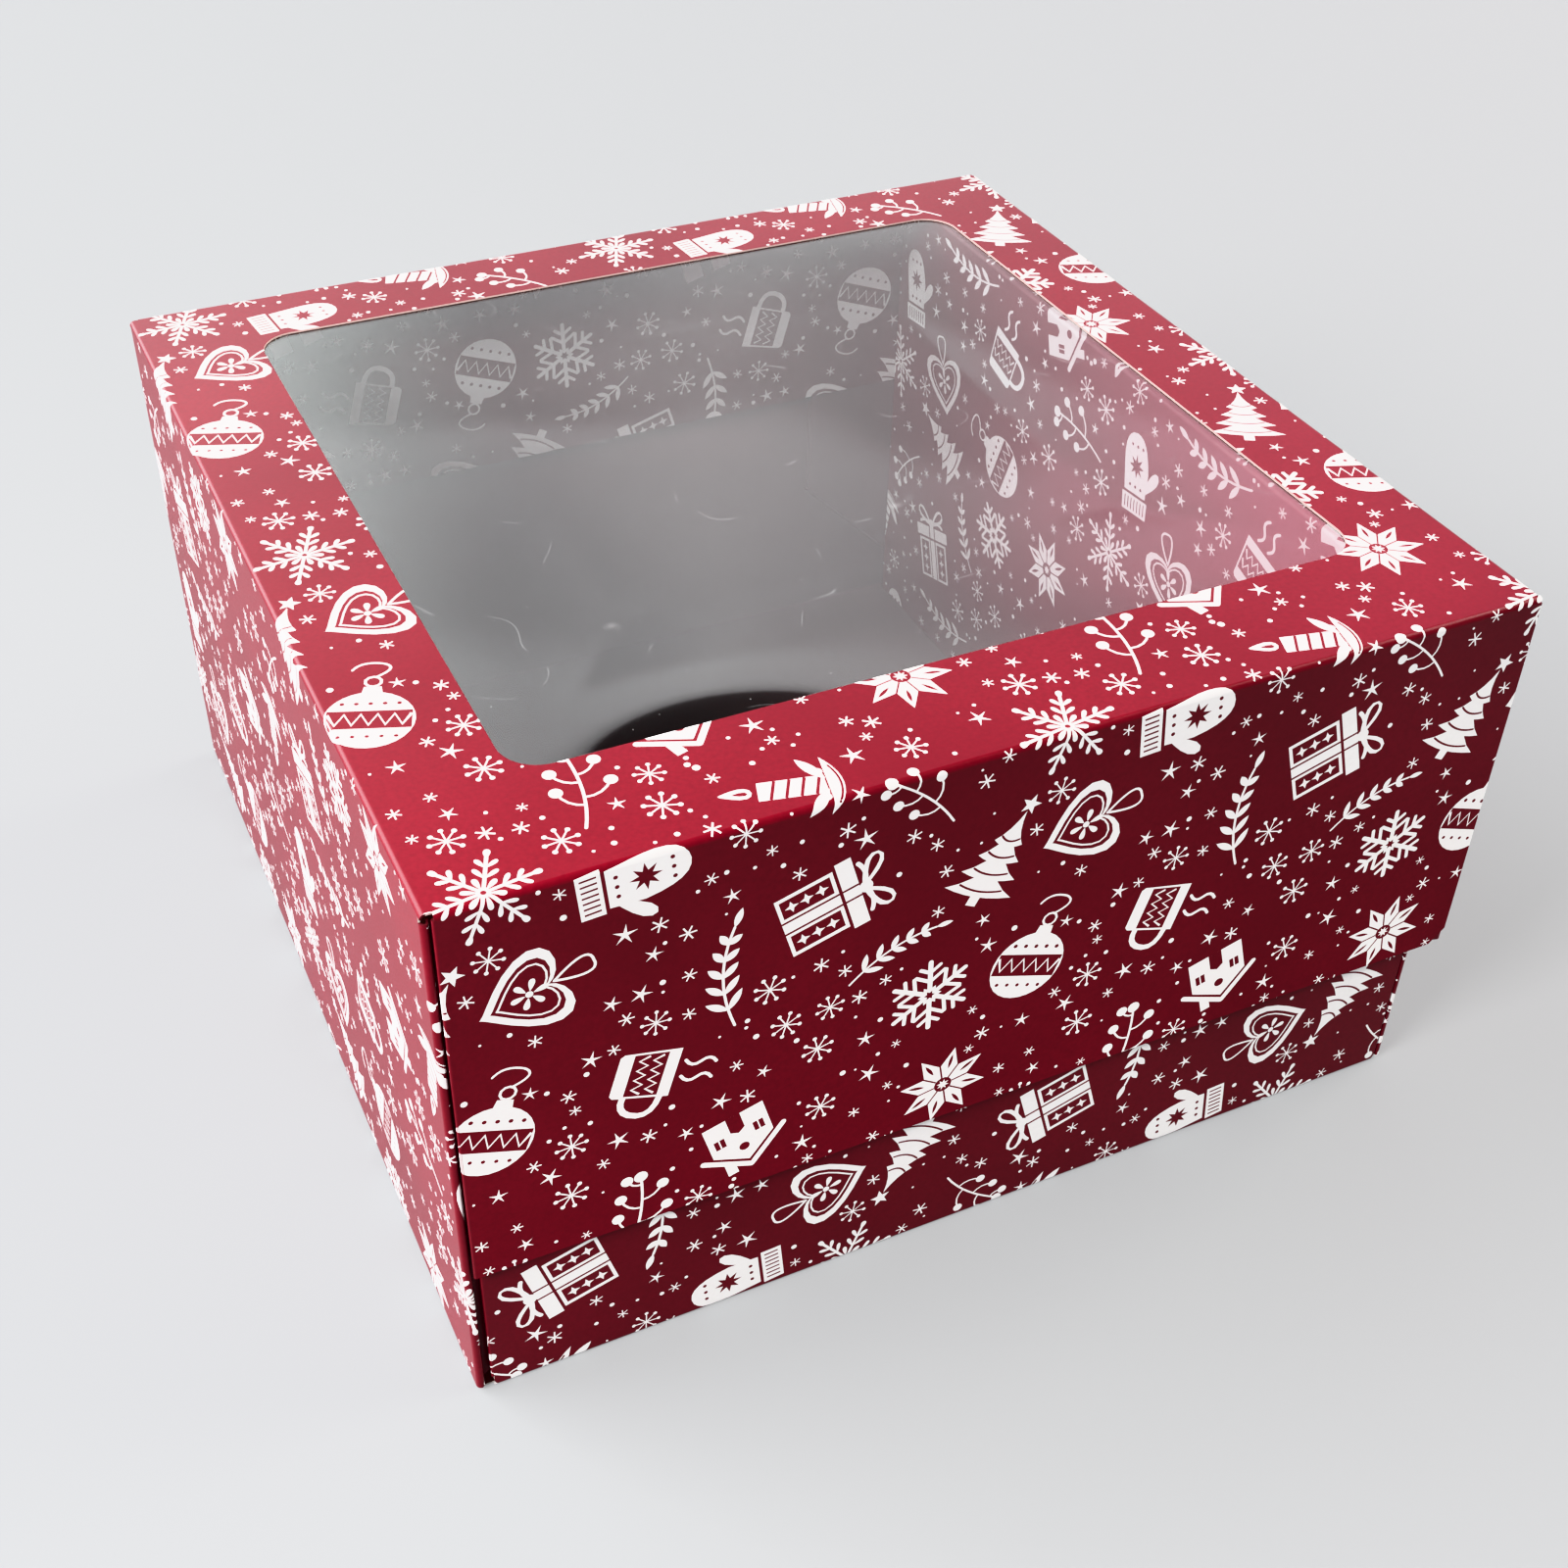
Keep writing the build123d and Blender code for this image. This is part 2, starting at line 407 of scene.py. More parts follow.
def ink_pair(where: str, curl: Curl | None = None) -> list[bpy.types.Material]:
    """The white of the ornaments and the red of the lines on them, as two materials.

    Args:
        where: the part of the sheet that they print.
        curl: how the board there curls, if it does.

    Returns:
        The materials, in the order of the ink slots.
    """
    return [
        make_material(f"white offset ink on the {where}", InkLayer(PAPER_WHITE, curl).shader),
        make_material(f"red offset ink on the {where}", InkLayer(FESTIVE_RED, curl).shader),
    ]


@dataclass(frozen=True)
class ClearFilm:
    """Clear polyester window film, cast and slit from a roll: glossy on both faces.

    Handling leaves it a trace of haze, short hair scratches in clusters and specks of dust,
    which catch the light white. Its shares are of the light that is scattered.
    """

    straight_gloss: float = 0.085
    gloss_power: float = 4.2
    gloss_roughness: float = 0.035
    tint: str = "#E9EAEA"
    dust: str = "#E8E8E8"
    haze: float = 0.001
    haze_play: float = 0.009
    haze_size: float = 80.0 * MM
    haze_ends: tuple[float, float] = (0.3, 0.7)
    scratch_run: float = 34.0 * MM
    scratch_line: float = 0.5
    scratch_width: float = 0.0035
    scratch_share: float = 0.065
    cluster_size: float = 34.0 * MM / 3
    cluster_ends: tuple[float, float] = (0.56, 0.64)
    speck_gap: float = 5.0 * MM
    speck_size: float = 0.035
    speck_core: float = 0.6
    speck_share: float = 0.25

    def shader(self, tree: Tree) -> Node:
        """Add the film's shader: gloss that grows at a glancing view, over a worn clear body.

        Args:
            tree: the material's node tree.

        Returns:
            The shader node.
        """
        facing = add_node(tree, "LayerWeight", {"Blend": 0.5}).outputs["Facing"]
        rise = add_node(tree, "Math", {0: facing, 1: self.gloss_power}, operation="POWER")
        ends = {"To Min": self.straight_gloss, "To Max": 1.0}
        share = add_node(tree, "MapRange", {"Value": rise, **ends})
        clear = add_node(tree, "BsdfTransparent", {"Color": linear(self.tint)})
        dust = add_node(tree, "BsdfDiffuse", {"Color": linear(self.dust)})
        body = add_node(tree, "MixShader", {0: self._wear(tree), 1: clear, 2: dust})
        gloss = add_node(tree, "BsdfAnisotropic", {"Roughness": self.gloss_roughness})
        return add_node(tree, "MixShader", {0: share, 1: body, 2: gloss})

    def _wear(self, tree: Tree) -> Node:
        """Add up haze, scratches and specks, as the share of the film that scatters light.

        Args:
            tree: the material's node tree.

        Returns:
            The node that gives that share.
        """
        place = add_node(tree, "TexCoord").outputs["Object"]
        forms = ((self.haze_size, 4.0), (self.scratch_run, 1.0), (self.cluster_size, 2.0))
        cloud, line, cluster = (
            add_node(tree, "TexNoise", {"Vector": place, "Scale": 1 / size, "Detail": detail})
            for size, detail in forms
        )
        off = add_node(tree, "Math", {0: line, 1: self.scratch_line}, operation="SUBTRACT")
        near = add_node(tree, "Math", {0: off}, operation="ABSOLUTE")
        dots = {"Vector": place, "Scale": 1 / self.speck_gap, "Randomness": 1.0}
        cells = add_node(tree, "TexVoronoi", dots)
        core = self.speck_size * self.speck_core
        ramps = (
            (cloud, *self.haze_ends, self.haze, self.haze + self.haze_play),
            (near, 0.0, self.scratch_width, self.scratch_share, 0.0),
            (cluster, *self.cluster_ends, 0.0, 1.0),
            (cells, core, self.speck_size, self.speck_share, 0.0),
        )
        names = ("Value", "From Min", "From Max", "To Min", "To Max")
        haze, thin, patch, speck = (
            add_node(tree, "MapRange", dict(zip(names, ramp))) for ramp in ramps
        )
        scratch = add_node(tree, "Math", {0: thin, 1: patch}, operation="MULTIPLY")
        total = add_node(tree, "Math", {0: haze, 1: scratch}, operation="ADD")
        return add_node(tree, "Math", {0: total, 1: speck}, operation="ADD")


@dataclass(frozen=True)
class PaleTable:
    """A pale matt acrylic table top, faintly lit through from below to soften shadows."""

    colour: str = "#5E5F60"
    roughness: float = 0.7
    shine: float = 0.2
    glow: float = 0.385
    glow_colour: str = "#F6F8FA"

    def shader(self, tree: Tree) -> Node:
        """Add the table's shader.

        Args:
            tree: the material's node tree.

        Returns:
            The shader node.
        """
        look = {
            "Base Color": linear(self.colour),
            "Roughness": self.roughness,
            "Specular IOR Level": self.shine,
            "Emission Color": linear(self.glow_colour),
            "Emission Strength": self.glow,
        }
        return add_node(tree, "BsdfPrincipled", look)


# The ornaments


class InkSlot(Enum):
    """Which ink a printed shape is in: its number is the material slot."""

    WHITE = 0
    RED = 1


WHITE, RED = InkSlot


def polar(radius: float, degrees: float) -> Vector:
    """The point at a radius and an angle from the X axis."""
    return Vector((math.cos(math.radians(degrees)), math.sin(math.radians(degrees)))) * radius


def bow(start: Point, pull: Point, end: Point, steps: int = 10) -> list[Vector]:
    """Points along a line that bows towards a pulling point.

    Args:
        start: where it starts.
        pull: the point that pulls at it.
        end: where it ends.
        steps: how many straight pieces it has.

    Returns:
        The points in order.
    """
    start, pull, end = Vector(start), Vector(pull), Vector(end)
    shares = [i / steps for i in range(steps + 1)]
    return [start * (1 - t) ** 2 + pull * (2 * t * (1 - t)) + end * t**2 for t in shares]


class Stencil:
    """One flat ornament, drawn in millimetres round the origin.

    Each shape lies a hair above the one before, so that a red line drawn over a white
    shape shows, and no two faces share a plane.
    """

    layer_step = 0.0003
    petal_belly = 0.72
    petal_taper = 0.42

    def __init__(self) -> None:
        """Start an empty ornament."""
        self.mesh = bmesh.new()
        self.layer = 0.0

    def _ink(self, faces: list, ink: InkSlot) -> None:
        """Give new faces their ink and lift them onto a layer of their own.

        Args:
            faces: the faces of one shape.
            ink: their ink.
        """
        self.layer += self.layer_step
        for vert in {vert for face in faces for vert in face.verts}:
            vert.co.z = self.layer
        for face in faces:
            face.normal_update()
            face.material_index = ink.value
            if face.normal.z < 0:
                face.normal_flip()

    def outline(self, points: list[Point], ink: InkSlot = WHITE) -> None:
        """Fill a closed outline, given by its corners in order.

        Args:
            points: the corners.
            ink: the ink it is filled with.
        """
        start = bmesh.ops.create_circle(self.mesh, cap_ends=True, segments=len(points), radius=1)
        for vert, point in zip(start["verts"], points):
            vert.co.xy = point
        self._ink(list({face for vert in start["verts"] for face in vert.link_faces}), ink)

    def slab(self, low: Point, high: Point, ink: InkSlot = WHITE) -> None:
        """Fill a box between two corners."""
        self.outline([low, (high[0], low[1]), high, (low[0], high[1])], ink)

    def disc(self, centre: Point, radius: float, ink: InkSlot = WHITE, sides: int = 14) -> None:
        """Fill a disc."""
        rim = [Vector(centre) + polar(radius, 360 * i / sides) for i in range(sides)]
        self.outline(rim, ink)

    def petal(
        self, root: Point, tip: Point, width: float, ink: InkSlot = WHITE, sides: int = 16
    ) -> None:
        """Fill a drop that is narrow at its root and full near its tip.

        Args:
            root: the narrow end.
            tip: the round end.
            width: the widest the drop gets.
            ink: the ink it is filled with.
            sides: how many corners its outline has.
        """
        root, tip = Vector(root), Vector(tip)
        middle, along = (root + tip) / 2, (tip - root) / 2
        across = Vector((-along.y, along.x)).normalized() * width / 2
        points = []
        for i in range(sides):
            share = polar(1, 360 * i / sides)
            full = self.petal_belly + self.petal_taper * share.x
            points.append(middle + along * share.x + across * share.y * full)
        self.outline(points, ink)

    def leaf(self, root: Point, tip: Point, width: float, ink: InkSlot = WHITE) -> None:
        """Fill a leaf that is pointed at both ends.

        Args:
            root: one end.
            tip: the other end.
            width: how far its sides are pulled out.
            ink: the ink it is filled with.
        """
        root, tip = Vector(root), Vector(tip)
        along = tip - root
        across = Vector((-along.y, along.x)).normalized() * width
        side = bow(root, (root + tip) / 2 + across, tip, 8)
        back = bow(tip, (root + tip) / 2 - across, root, 8)
        self.outline(side + back[1:-1], ink)

    def stroke(
        self, points: list[Point], width: float, ink: InkSlot = WHITE, round_ends: bool = True
    ) -> None:
        """Draw a line of even width, as a ribbon extruded from point to point.

        Args:
            points: the line's points in order.
            width: the line's width.
            ink: the ink it is drawn with.
            round_ends: whether its ends are round.
        """
        points = [Vector(point) for point in points]
        faces, edge = [], None
        for i, point in enumerate(points):
            before, after = points[max(i - 1, 0)], points[min(i + 1, len(points) - 1)]
            way = (after - before).normalized()
            across = Vector((-way.y, way.x)) * width / 2
            if edge is None:
                ends = [self.mesh.verts.new((*spot, 0)) for spot in (point + across, point - across)]
                edge = self.mesh.edges.new(ends)
                continue
            grown = bmesh.ops.extrude_edge_only(self.mesh, edges=[edge])["geom"]
            faces += [item for item in grown if isinstance(item, bmesh.types.BMFace)]
            last = list(edge.verts)
            edge = far_edge(grown, last)
            for vert in edge.verts:
                near_first = any(other.other_vert(vert) is last[0] for other in vert.link_edges)
                vert.co.xy = point + across if near_first else point - across
        self._ink(faces, ink)
        if round_ends:
            self.disc(points[0], width / 2, ink, 10)
            self.disc(points[-1], width / 2, ink, 10)

    def star(
        self, centre: Point, points: int, outer: float, inner: float, ink: InkSlot = WHITE
    ) -> None:
        """Fill an upright star with that many points.

        Args:
            centre: its middle.
            points: how many points it has.
            outer: the radius of its points.
            inner: the radius between them.
            ink: the ink it is filled with.
        """
        turns = [90 + 180 * i / points for i in range(2 * points)]
        radii = (outer, inner) * points
        tips = [Vector(centre) + polar(radius, turn) for radius, turn in zip(radii, turns)]
        self.outline(tips, ink)

    def finish(self, name: str) -> bpy.types.Mesh:
        """Turn the drawing into a mesh in metres, with that name.

        Args:
            name: the mesh's name.

        Returns:
            The mesh.
        """
        self.mesh.normal_update()
        mesh = bpy.data.meshes.new(name)
        bmesh.ops.scale(self.mesh, vec=(MM, MM, MM), verts=self.mesh.verts)
        self.mesh.to_mesh(mesh)
        self.mesh.free()
        return mesh


def far_edge(grown: list, last: list) -> bmesh.types.BMEdge:
    """The new edge at the far side of an extrusion from an edge with those corners."""
    edges = [item for item in grown if isinstance(item, bmesh.types.BMEdge)]
    return next(edge for edge in edges if not any(vert in last for vert in edge.verts))


def draw_petal_crystal(art: Stencil) -> None:
    """A large snow crystal with paired drops on its arms.

    Args:
        art: the stencil that it is drawn with.
    """
    for turn in range(0, 360, 60):
        art.stroke([ORIGIN, polar(11.6, turn)], 0.85)
        for reach, length in ((4.6, 4.0), (8.0, 3.6)):
            for lean in (-44, 44):
                root = polar(reach, turn)
                art.petal(root, root + polar(length, turn + lean), 1.5)
        art.petal(polar(11.0, turn), polar(14.0, turn), 2.0)
        art.petal(polar(1.4, turn + 30), polar(5.0, turn + 30), 1.7)
    art.disc(ORIGIN, 1.7, sides=12)
    art.disc(ORIGIN, 0.75, RED, 8)


def draw_barred_crystal(art: Stencil) -> None:
    """A stout snow crystal with straight slanting bars.

    Args:
        art: the stencil that it is drawn with.
    """
    for turn in range(0, 360, 60):
        art.stroke([polar(1.6, turn), polar(12.2, turn)], 1.5)
        for reach, length in ((5.0, 5.2), (8.3, 3.6)):
            for lean in (-55, 55):
                root = polar(reach, turn)
                art.stroke([root, root + polar(length, turn + lean)], 1.2)
    art.star(ORIGIN, 6, 3.6, 2.1)
    art.star(ORIGIN, 6, 1.7, 0.9, RED)


def draw_fir_tree(art: Stencil) -> None:
    """A fir tree of four tiers, with garlands and a star.

    Args:
        art: the stencil that it is drawn with.
    """
    art.slab((-1.3, -13.5), (1.3, -9))
    for low, high, half in ((-10, -2, 9.2), (-5.6, 2.8, 7.4), (-1.2, 7.2, 5.6), (3, 11, 3.8)):
        hem = bow((half, low), (0, low - 2.4), (-half, low), 6)
        left = bow((-half, low), (-half * 0.25, low + 2.6), (0, high), 4)
        right = bow((0, high), (half * 0.25, low + 2.6), (half, low), 4)
        art.outline(hem + left[1:] + right[1:-1])
        end = half * 0.62
        art.stroke(bow((end, low + 1.2), (0, low - 0.6), (-end, low + 1.2)), 0.5, RED)
    art.star((0, 12.6), 5, 2.6, 1.1)


def draw_parcel(art: Stencil) -> None:
    """A tied parcel with a bow on top.

    Args:
        art: the stencil that it is drawn with.
    """
    art.slab((-8, -10), (8, 2.4))
    art.slab((-9.2, 3.1), (9.2, 6.6))
    for x in (-1.5, 1.5):
        art.stroke([(x, -10), (x, 6.6)], 0.5, RED, False)
    for x in (-4.8, 4.8):
        art.slab((x - 2.3, -9.2), (x + 2.3, 1.6), RED)
        for y in (-7.0, -3.8, -0.6):
            art.star((x, y), 4, 1.5, 0.6)
    for side in (-1, 1):
        loop = Vector((7.2 * side, 12.2))
        art.petal((0, 7.2), loop, 5.0, sides=12)
        art.petal((1.8 * side, 8.6), loop * 0.92 + Vector((0, 0.6)), 2.4, RED)
        art.stroke(bow((0, 7.4), (3.4 * side, 9.4), (6.6 * side, 7.6)), 1.0)
    art.disc((0, 7.8), 1.5)


def draw_round_bauble(art: Stencil) -> None:
    """A round bauble with bands, on a looped thread.

    Args:
        art: the stencil that it is drawn with.
    """
    art.disc((0, -2), 9.4, sides=28)
    art.outline([(-2.2, 6.6), (2.2, 6.6), (1.8, 9.2), (-1.8, 9.2)])
    ring = [Vector((0, 11)) + polar(1.7, -90 + 36 * i) for i in range(11)]
    art.stroke(ring, 0.6, round_ends=False)
    thread = bow((0.4, 12.6), (5.4, 16.0), (1.6, 17.4))
    art.stroke(thread + bow((1.6, 17.4), (-3, 18.4), (-4.6, 15.2))[1:], 0.55)
    art.outline([(8.7, -5.0), (8.7, 1.0), (-8.7, 1.0), (-8.7, -5.0)], RED)
    teeth = [(-8.5 + 1.7 * i, -3.8 if i % 2 else -0.2) for i in range(11)]
    art.stroke(teeth, 0.7, round_ends=False)
    for i in range(-2, 3):
        art.disc((2.9 * i, 3.4), 0.55, RED, 8)
        art.disc((2.9 * i, -7.6), 0.5, RED, 8)


def heart(size: float) -> list[tuple[float, float]]:
    """The outline of a heart of that size.

    Args:
        size: half its width.

    Returns:
        Its corners in order.
    """
    points = []
    for i in range(28):
        a = 2 * math.pi * i / 28
        rise = 13 * math.cos(a) - 5 * math.cos(2 * a) - 2 * math.cos(3 * a)
        points.append((size * math.sin(a) ** 3, size * rise / 16))
    return points


def draw_heart(art: Stencil) -> None:
    """A gingerbread heart with an iced edge, on a loop.

    Args:
        art: the stencil that it is drawn with.
    """
    art.outline(heart(10.5))
    art.outline(heart(8.3), RED)
    ring = heart(6.9)
    art.stroke(ring + ring[:1], 0.45, round_ends=False)
    for turn in range(30, 360, 60):
        art.petal(polar(0.9, turn), polar(3.9, turn), 1.7)
    art.disc(ORIGIN, 0.8)
    loop = bow((0, 5.2), (-4.6, 14), (0, 13.6))
    art.stroke(loop + bow((0, 13.6), (4.6, 14), (0, 5.2))[1:], 0.6)


def draw_candle(art: Stencil) -> None:
    """A lit candle on a saucer with two leaves.

    Args:
        art: the stencil that it is drawn with.
    """
    art.outline([(-2.7, -7), (2.7, -7), (2.7, 6.2), (-2.7, 6.8)])
    for y in (-4.6, -1.6, 1.4, 4.4):
        art.stroke([(-2.7, y), (2.7, y - 1.7)], 0.7, RED, False)
    art.petal((0.2, 14.2), (0, 7.6), 3.9, sides=14)
    art.petal((0.1, 11.6), (0, 8.4), 1.6, RED, 8)
    art.outline(bow((-8.2, -7.4), (0, -13.6), (8.2, -7.4), 10))
    art.stroke(bow((-5.4, -8.6), (0, -11.2), (5.4, -8.6)), 0.5, RED)
    for side in (-1, 1):
        art.leaf((1.6 * side, -7.2), (8.4 * side, -2.6), 2.3)
        art.disc((3.9 * side, -6.2), 1.0)


def draw_cottage(art: Stencil) -> None:
    """A little house under a snowy roof.

    Args:
        art: the stencil that it is drawn with.
    """
    art.outline([(-7.6, -9), (7.6, -9), (7.6, 1.6), (0, 7.4), (-7.6, 1.6)])
    art.outline([(3.4, 6), (6, 4.2), (6, 9.8), (3.4, 9.8)])
    for side in (-1, 1):
        art.stroke([(0, 9.4), (10.2 * side, 1.4)], 1.5)
    art.outline([(-1.8, -9), (1.8, -9), (1.8, -4), (0, -2.8), (-1.8, -4)], RED)
    for x in (-4.9, 4.9):
        art.slab((x - 1.3, -3.6), (x + 1.3, -3.6 + 3), RED)
        art.stroke([(x, -3.6), (x, -0.6)], 0.35, round_ends=False)
    art.disc((0, 2.4), 1.3, RED)
    for i, x in enumerate((5.2, 6.4, 5.6)):
        art.disc((x, 11.4 + 1.9 * i), 0.6 + 0.15 * i, sides=8)


def draw_mug(art: Stencil) -> None:
    """A mug of cocoa with a knitted sleeve and steam.

    Args:
        art: the stencil that it is drawn with.
    """
    art.outline([(-6, -9), (-5.2, -9.8), (5.2, -9.8), (6, -9), (6.6, 4), (-6.6, 4)])
    handle = bow((6.2, 2), (13, 1.6), (11, -4), 5)
    art.stroke(handle + bow((11, -4), (9.6, -7.2), (5.8, -6.6), 4)[1:], 1.5)
    art.outline([(-5.6, -6.6), (5.6, -6.6), (5.9, 1.2), (-5.9, 1.2)], RED)
    for rise in (0, 3.2):
        knit = [(-5.2 + 1.3 * i, rise - (5.2 if i % 2 else 3.0)) for i in range(9)]
        art.stroke(knit, 0.6, round_ends=False)
    for x in (-3, 1.4):
        lower = bow((x, 5.6), (x + 2.4, 7.6), (x + 0.6, 9.4), 4)
        upper = bow((x + 0.6, 9.4), (x - 1.2, 11.2), (x + 1, 13), 4)
        art.stroke(lower + upper[1:], 0.8)


def draw_mitten(art: Stencil) -> None:
    """A knitted mitten with a ribbed cuff.

    Args:
        art: the stencil that it is drawn with.
    """
    crown = bow((5.4, 2.6), (4.6, 12.6), (-0.6, 12.4), 6)
    back = bow((-0.6, 12.4), (-6, 12), (-5.4, 3.4), 6)
    art.outline([(4.6, -4.6), (5.4, 2.6), *crown[1:], *back[1:], (-4.8, -4.6)])
    art.petal((3.4, -3.6), (9.8, 4.4), 4.0, sides=12)
    art.outline([(-5.6, -5.4), (5.6, -5.4), (5.4, -10.4), (-5.4, -10.4)])
    for i in range(-3, 4):
        art.stroke([(1.4 * i, -6.2), (1.4 * i, -9.6)], 0.45, RED, False)
    art.star((0, 3.2), 8, 3.4, 1.5, RED)
    for y in (-2.6, 8.8):
        for x in (-2.4, 0, 2.4):
            art.disc((x, y), 0.5, RED, 8)


def draw_quilt_star(art: Stencil) -> None:
    """An eight-pointed patchwork star.

    Args:
        art: the stencil that it is drawn with.
    """
    art.star(ORIGIN, 8, 13.0, 7.0)
    for i in range(8):
        turn = 90 + 45 * i
        art.stroke([polar(2.6, turn + 22.5), polar(7.6, turn + 22.5)], 0.5, RED, False)
        art.leaf(polar(5.6, turn), polar(10.6, turn), 1.0, RED)
    art.disc(ORIGIN, 2.6, RED, 14)
    art.star(ORIGIN, 8, 1.9, 0.9)


def draw_leafy_twig(art: Stencil) -> None:
    """A bowed twig with paired pointed leaves.

    Args:
        art: the stencil that it is drawn with.
    """
    stem = bow((-12.5, -4), (0, 3.4), (12.5, 1), 12)
    art.stroke(stem, 0.6)
    for i in (2, 4, 6, 8, 10):
        way = (stem[i + 1] - stem[i - 1]).normalized()
        for lean in (-1, 1):
            side = Vector((-way.y, way.x)) * lean
            art.leaf(stem[i], stem[i] + (way * 0.72 + side * 0.7) * (6.2 - 0.28 * i), 1.7)
    art.leaf(stem[-1], stem[-1] + (stem[-1] - stem[-2]).normalized() * 4.6, 1.6)


def draw_berry_sprig(art: Stencil) -> None:
    """A forked sprig with a berry on every tip.

    Args:
        art: the stencil that it is drawn with.
    """
    stem = bow((-1.5, -12), (2.4, -2), (0.6, 10), 10)
    art.stroke(stem, 0.6)
    art.disc(stem[-1], 1.5)
    for i, lean, length in ((3, -1, 6.4), (4, 1, 6.8), (6, -1, 6.0), (7, 1, 5.4), (9, -1, 3.8)):
        way = (stem[i + 1] - stem[i - 1]).normalized()
        side = Vector((-way.y, way.x)) * -lean
        tip = stem[i] + (way * 0.62 + side * 0.8) * length
        art.stroke(bow(stem[i], stem[i] + side * length * 0.55, tip, 4), 0.5)
        art.disc(tip, 1.35)


def draw_ball_flake(art: Stencil) -> None:
    """A small flake of eight spokes with a ball on each.

    Args:
        art: the stencil that it is drawn with.
    """
    for turn in range(0, 360, 45):
        art.stroke([ORIGIN, polar(3.0, turn)], 0.32, round_ends=False)
        art.disc(polar(3.2, turn), 0.52, sides=9)


def draw_small_star(art: Stencil) -> None:
    """A slim five-pointed star."""
    art.star(ORIGIN, 5, 2.5, 0.62)


def draw_spark(art: Stencil) -> None:
    """A small spark of three crossed strokes."""
    for turn in (8, 67, 129):
        art.stroke([polar(1.7, turn), polar(1.7, turn + 180)], 0.34, round_ends=False)


def draw_dot(art: Stencil) -> None:
    """A snow dot."""
    art.disc(ORIGIN, 0.5, sides=10)


Drawing = Callable[[Stencil], None]

# The large ornaments in the order they are laid, with their sizes
LARGE_ORNAMENTS: tuple[tuple[Drawing, float], ...] = (
    (draw_parcel, 1.05),
    (draw_fir_tree, 1.0),
    (draw_round_bauble, 0.98),
    (draw_cottage, 0.95),
    (draw_candle, 1.0),
    (draw_mitten, 1.0),
    (draw_quilt_star, 0.85),
    (draw_mug, 0.98),
    (draw_petal_crystal, 0.85),
    (draw_heart, 1.0),
    (draw_barred_crystal, 0.8),
    (draw_leafy_twig, 1.05),
    (draw_berry_sprig, 1.05),
    (draw_leafy_twig, 0.85),
    (draw_berry_sprig, 0.9),
)


# The small ornaments between them: how many there are, and their least and most size
FILLERS: tuple[tuple[Drawing, int, float, float], ...] = (
    (draw_ball_flake, 15, 0.9, 1.1),
    (draw_small_star, 24, 0.75, 1.15),
    (draw_spark, 48, 0.7, 1.15),
    (draw_dot, 76, 0.6, 1.5),
)


@dataclass(frozen=True)
class Stamped:
    """One ornament in its place on the print's repeat."""

    mesh: bpy.types.Mesh
    place: Vector
    turn: float
    size: float
    reach: float


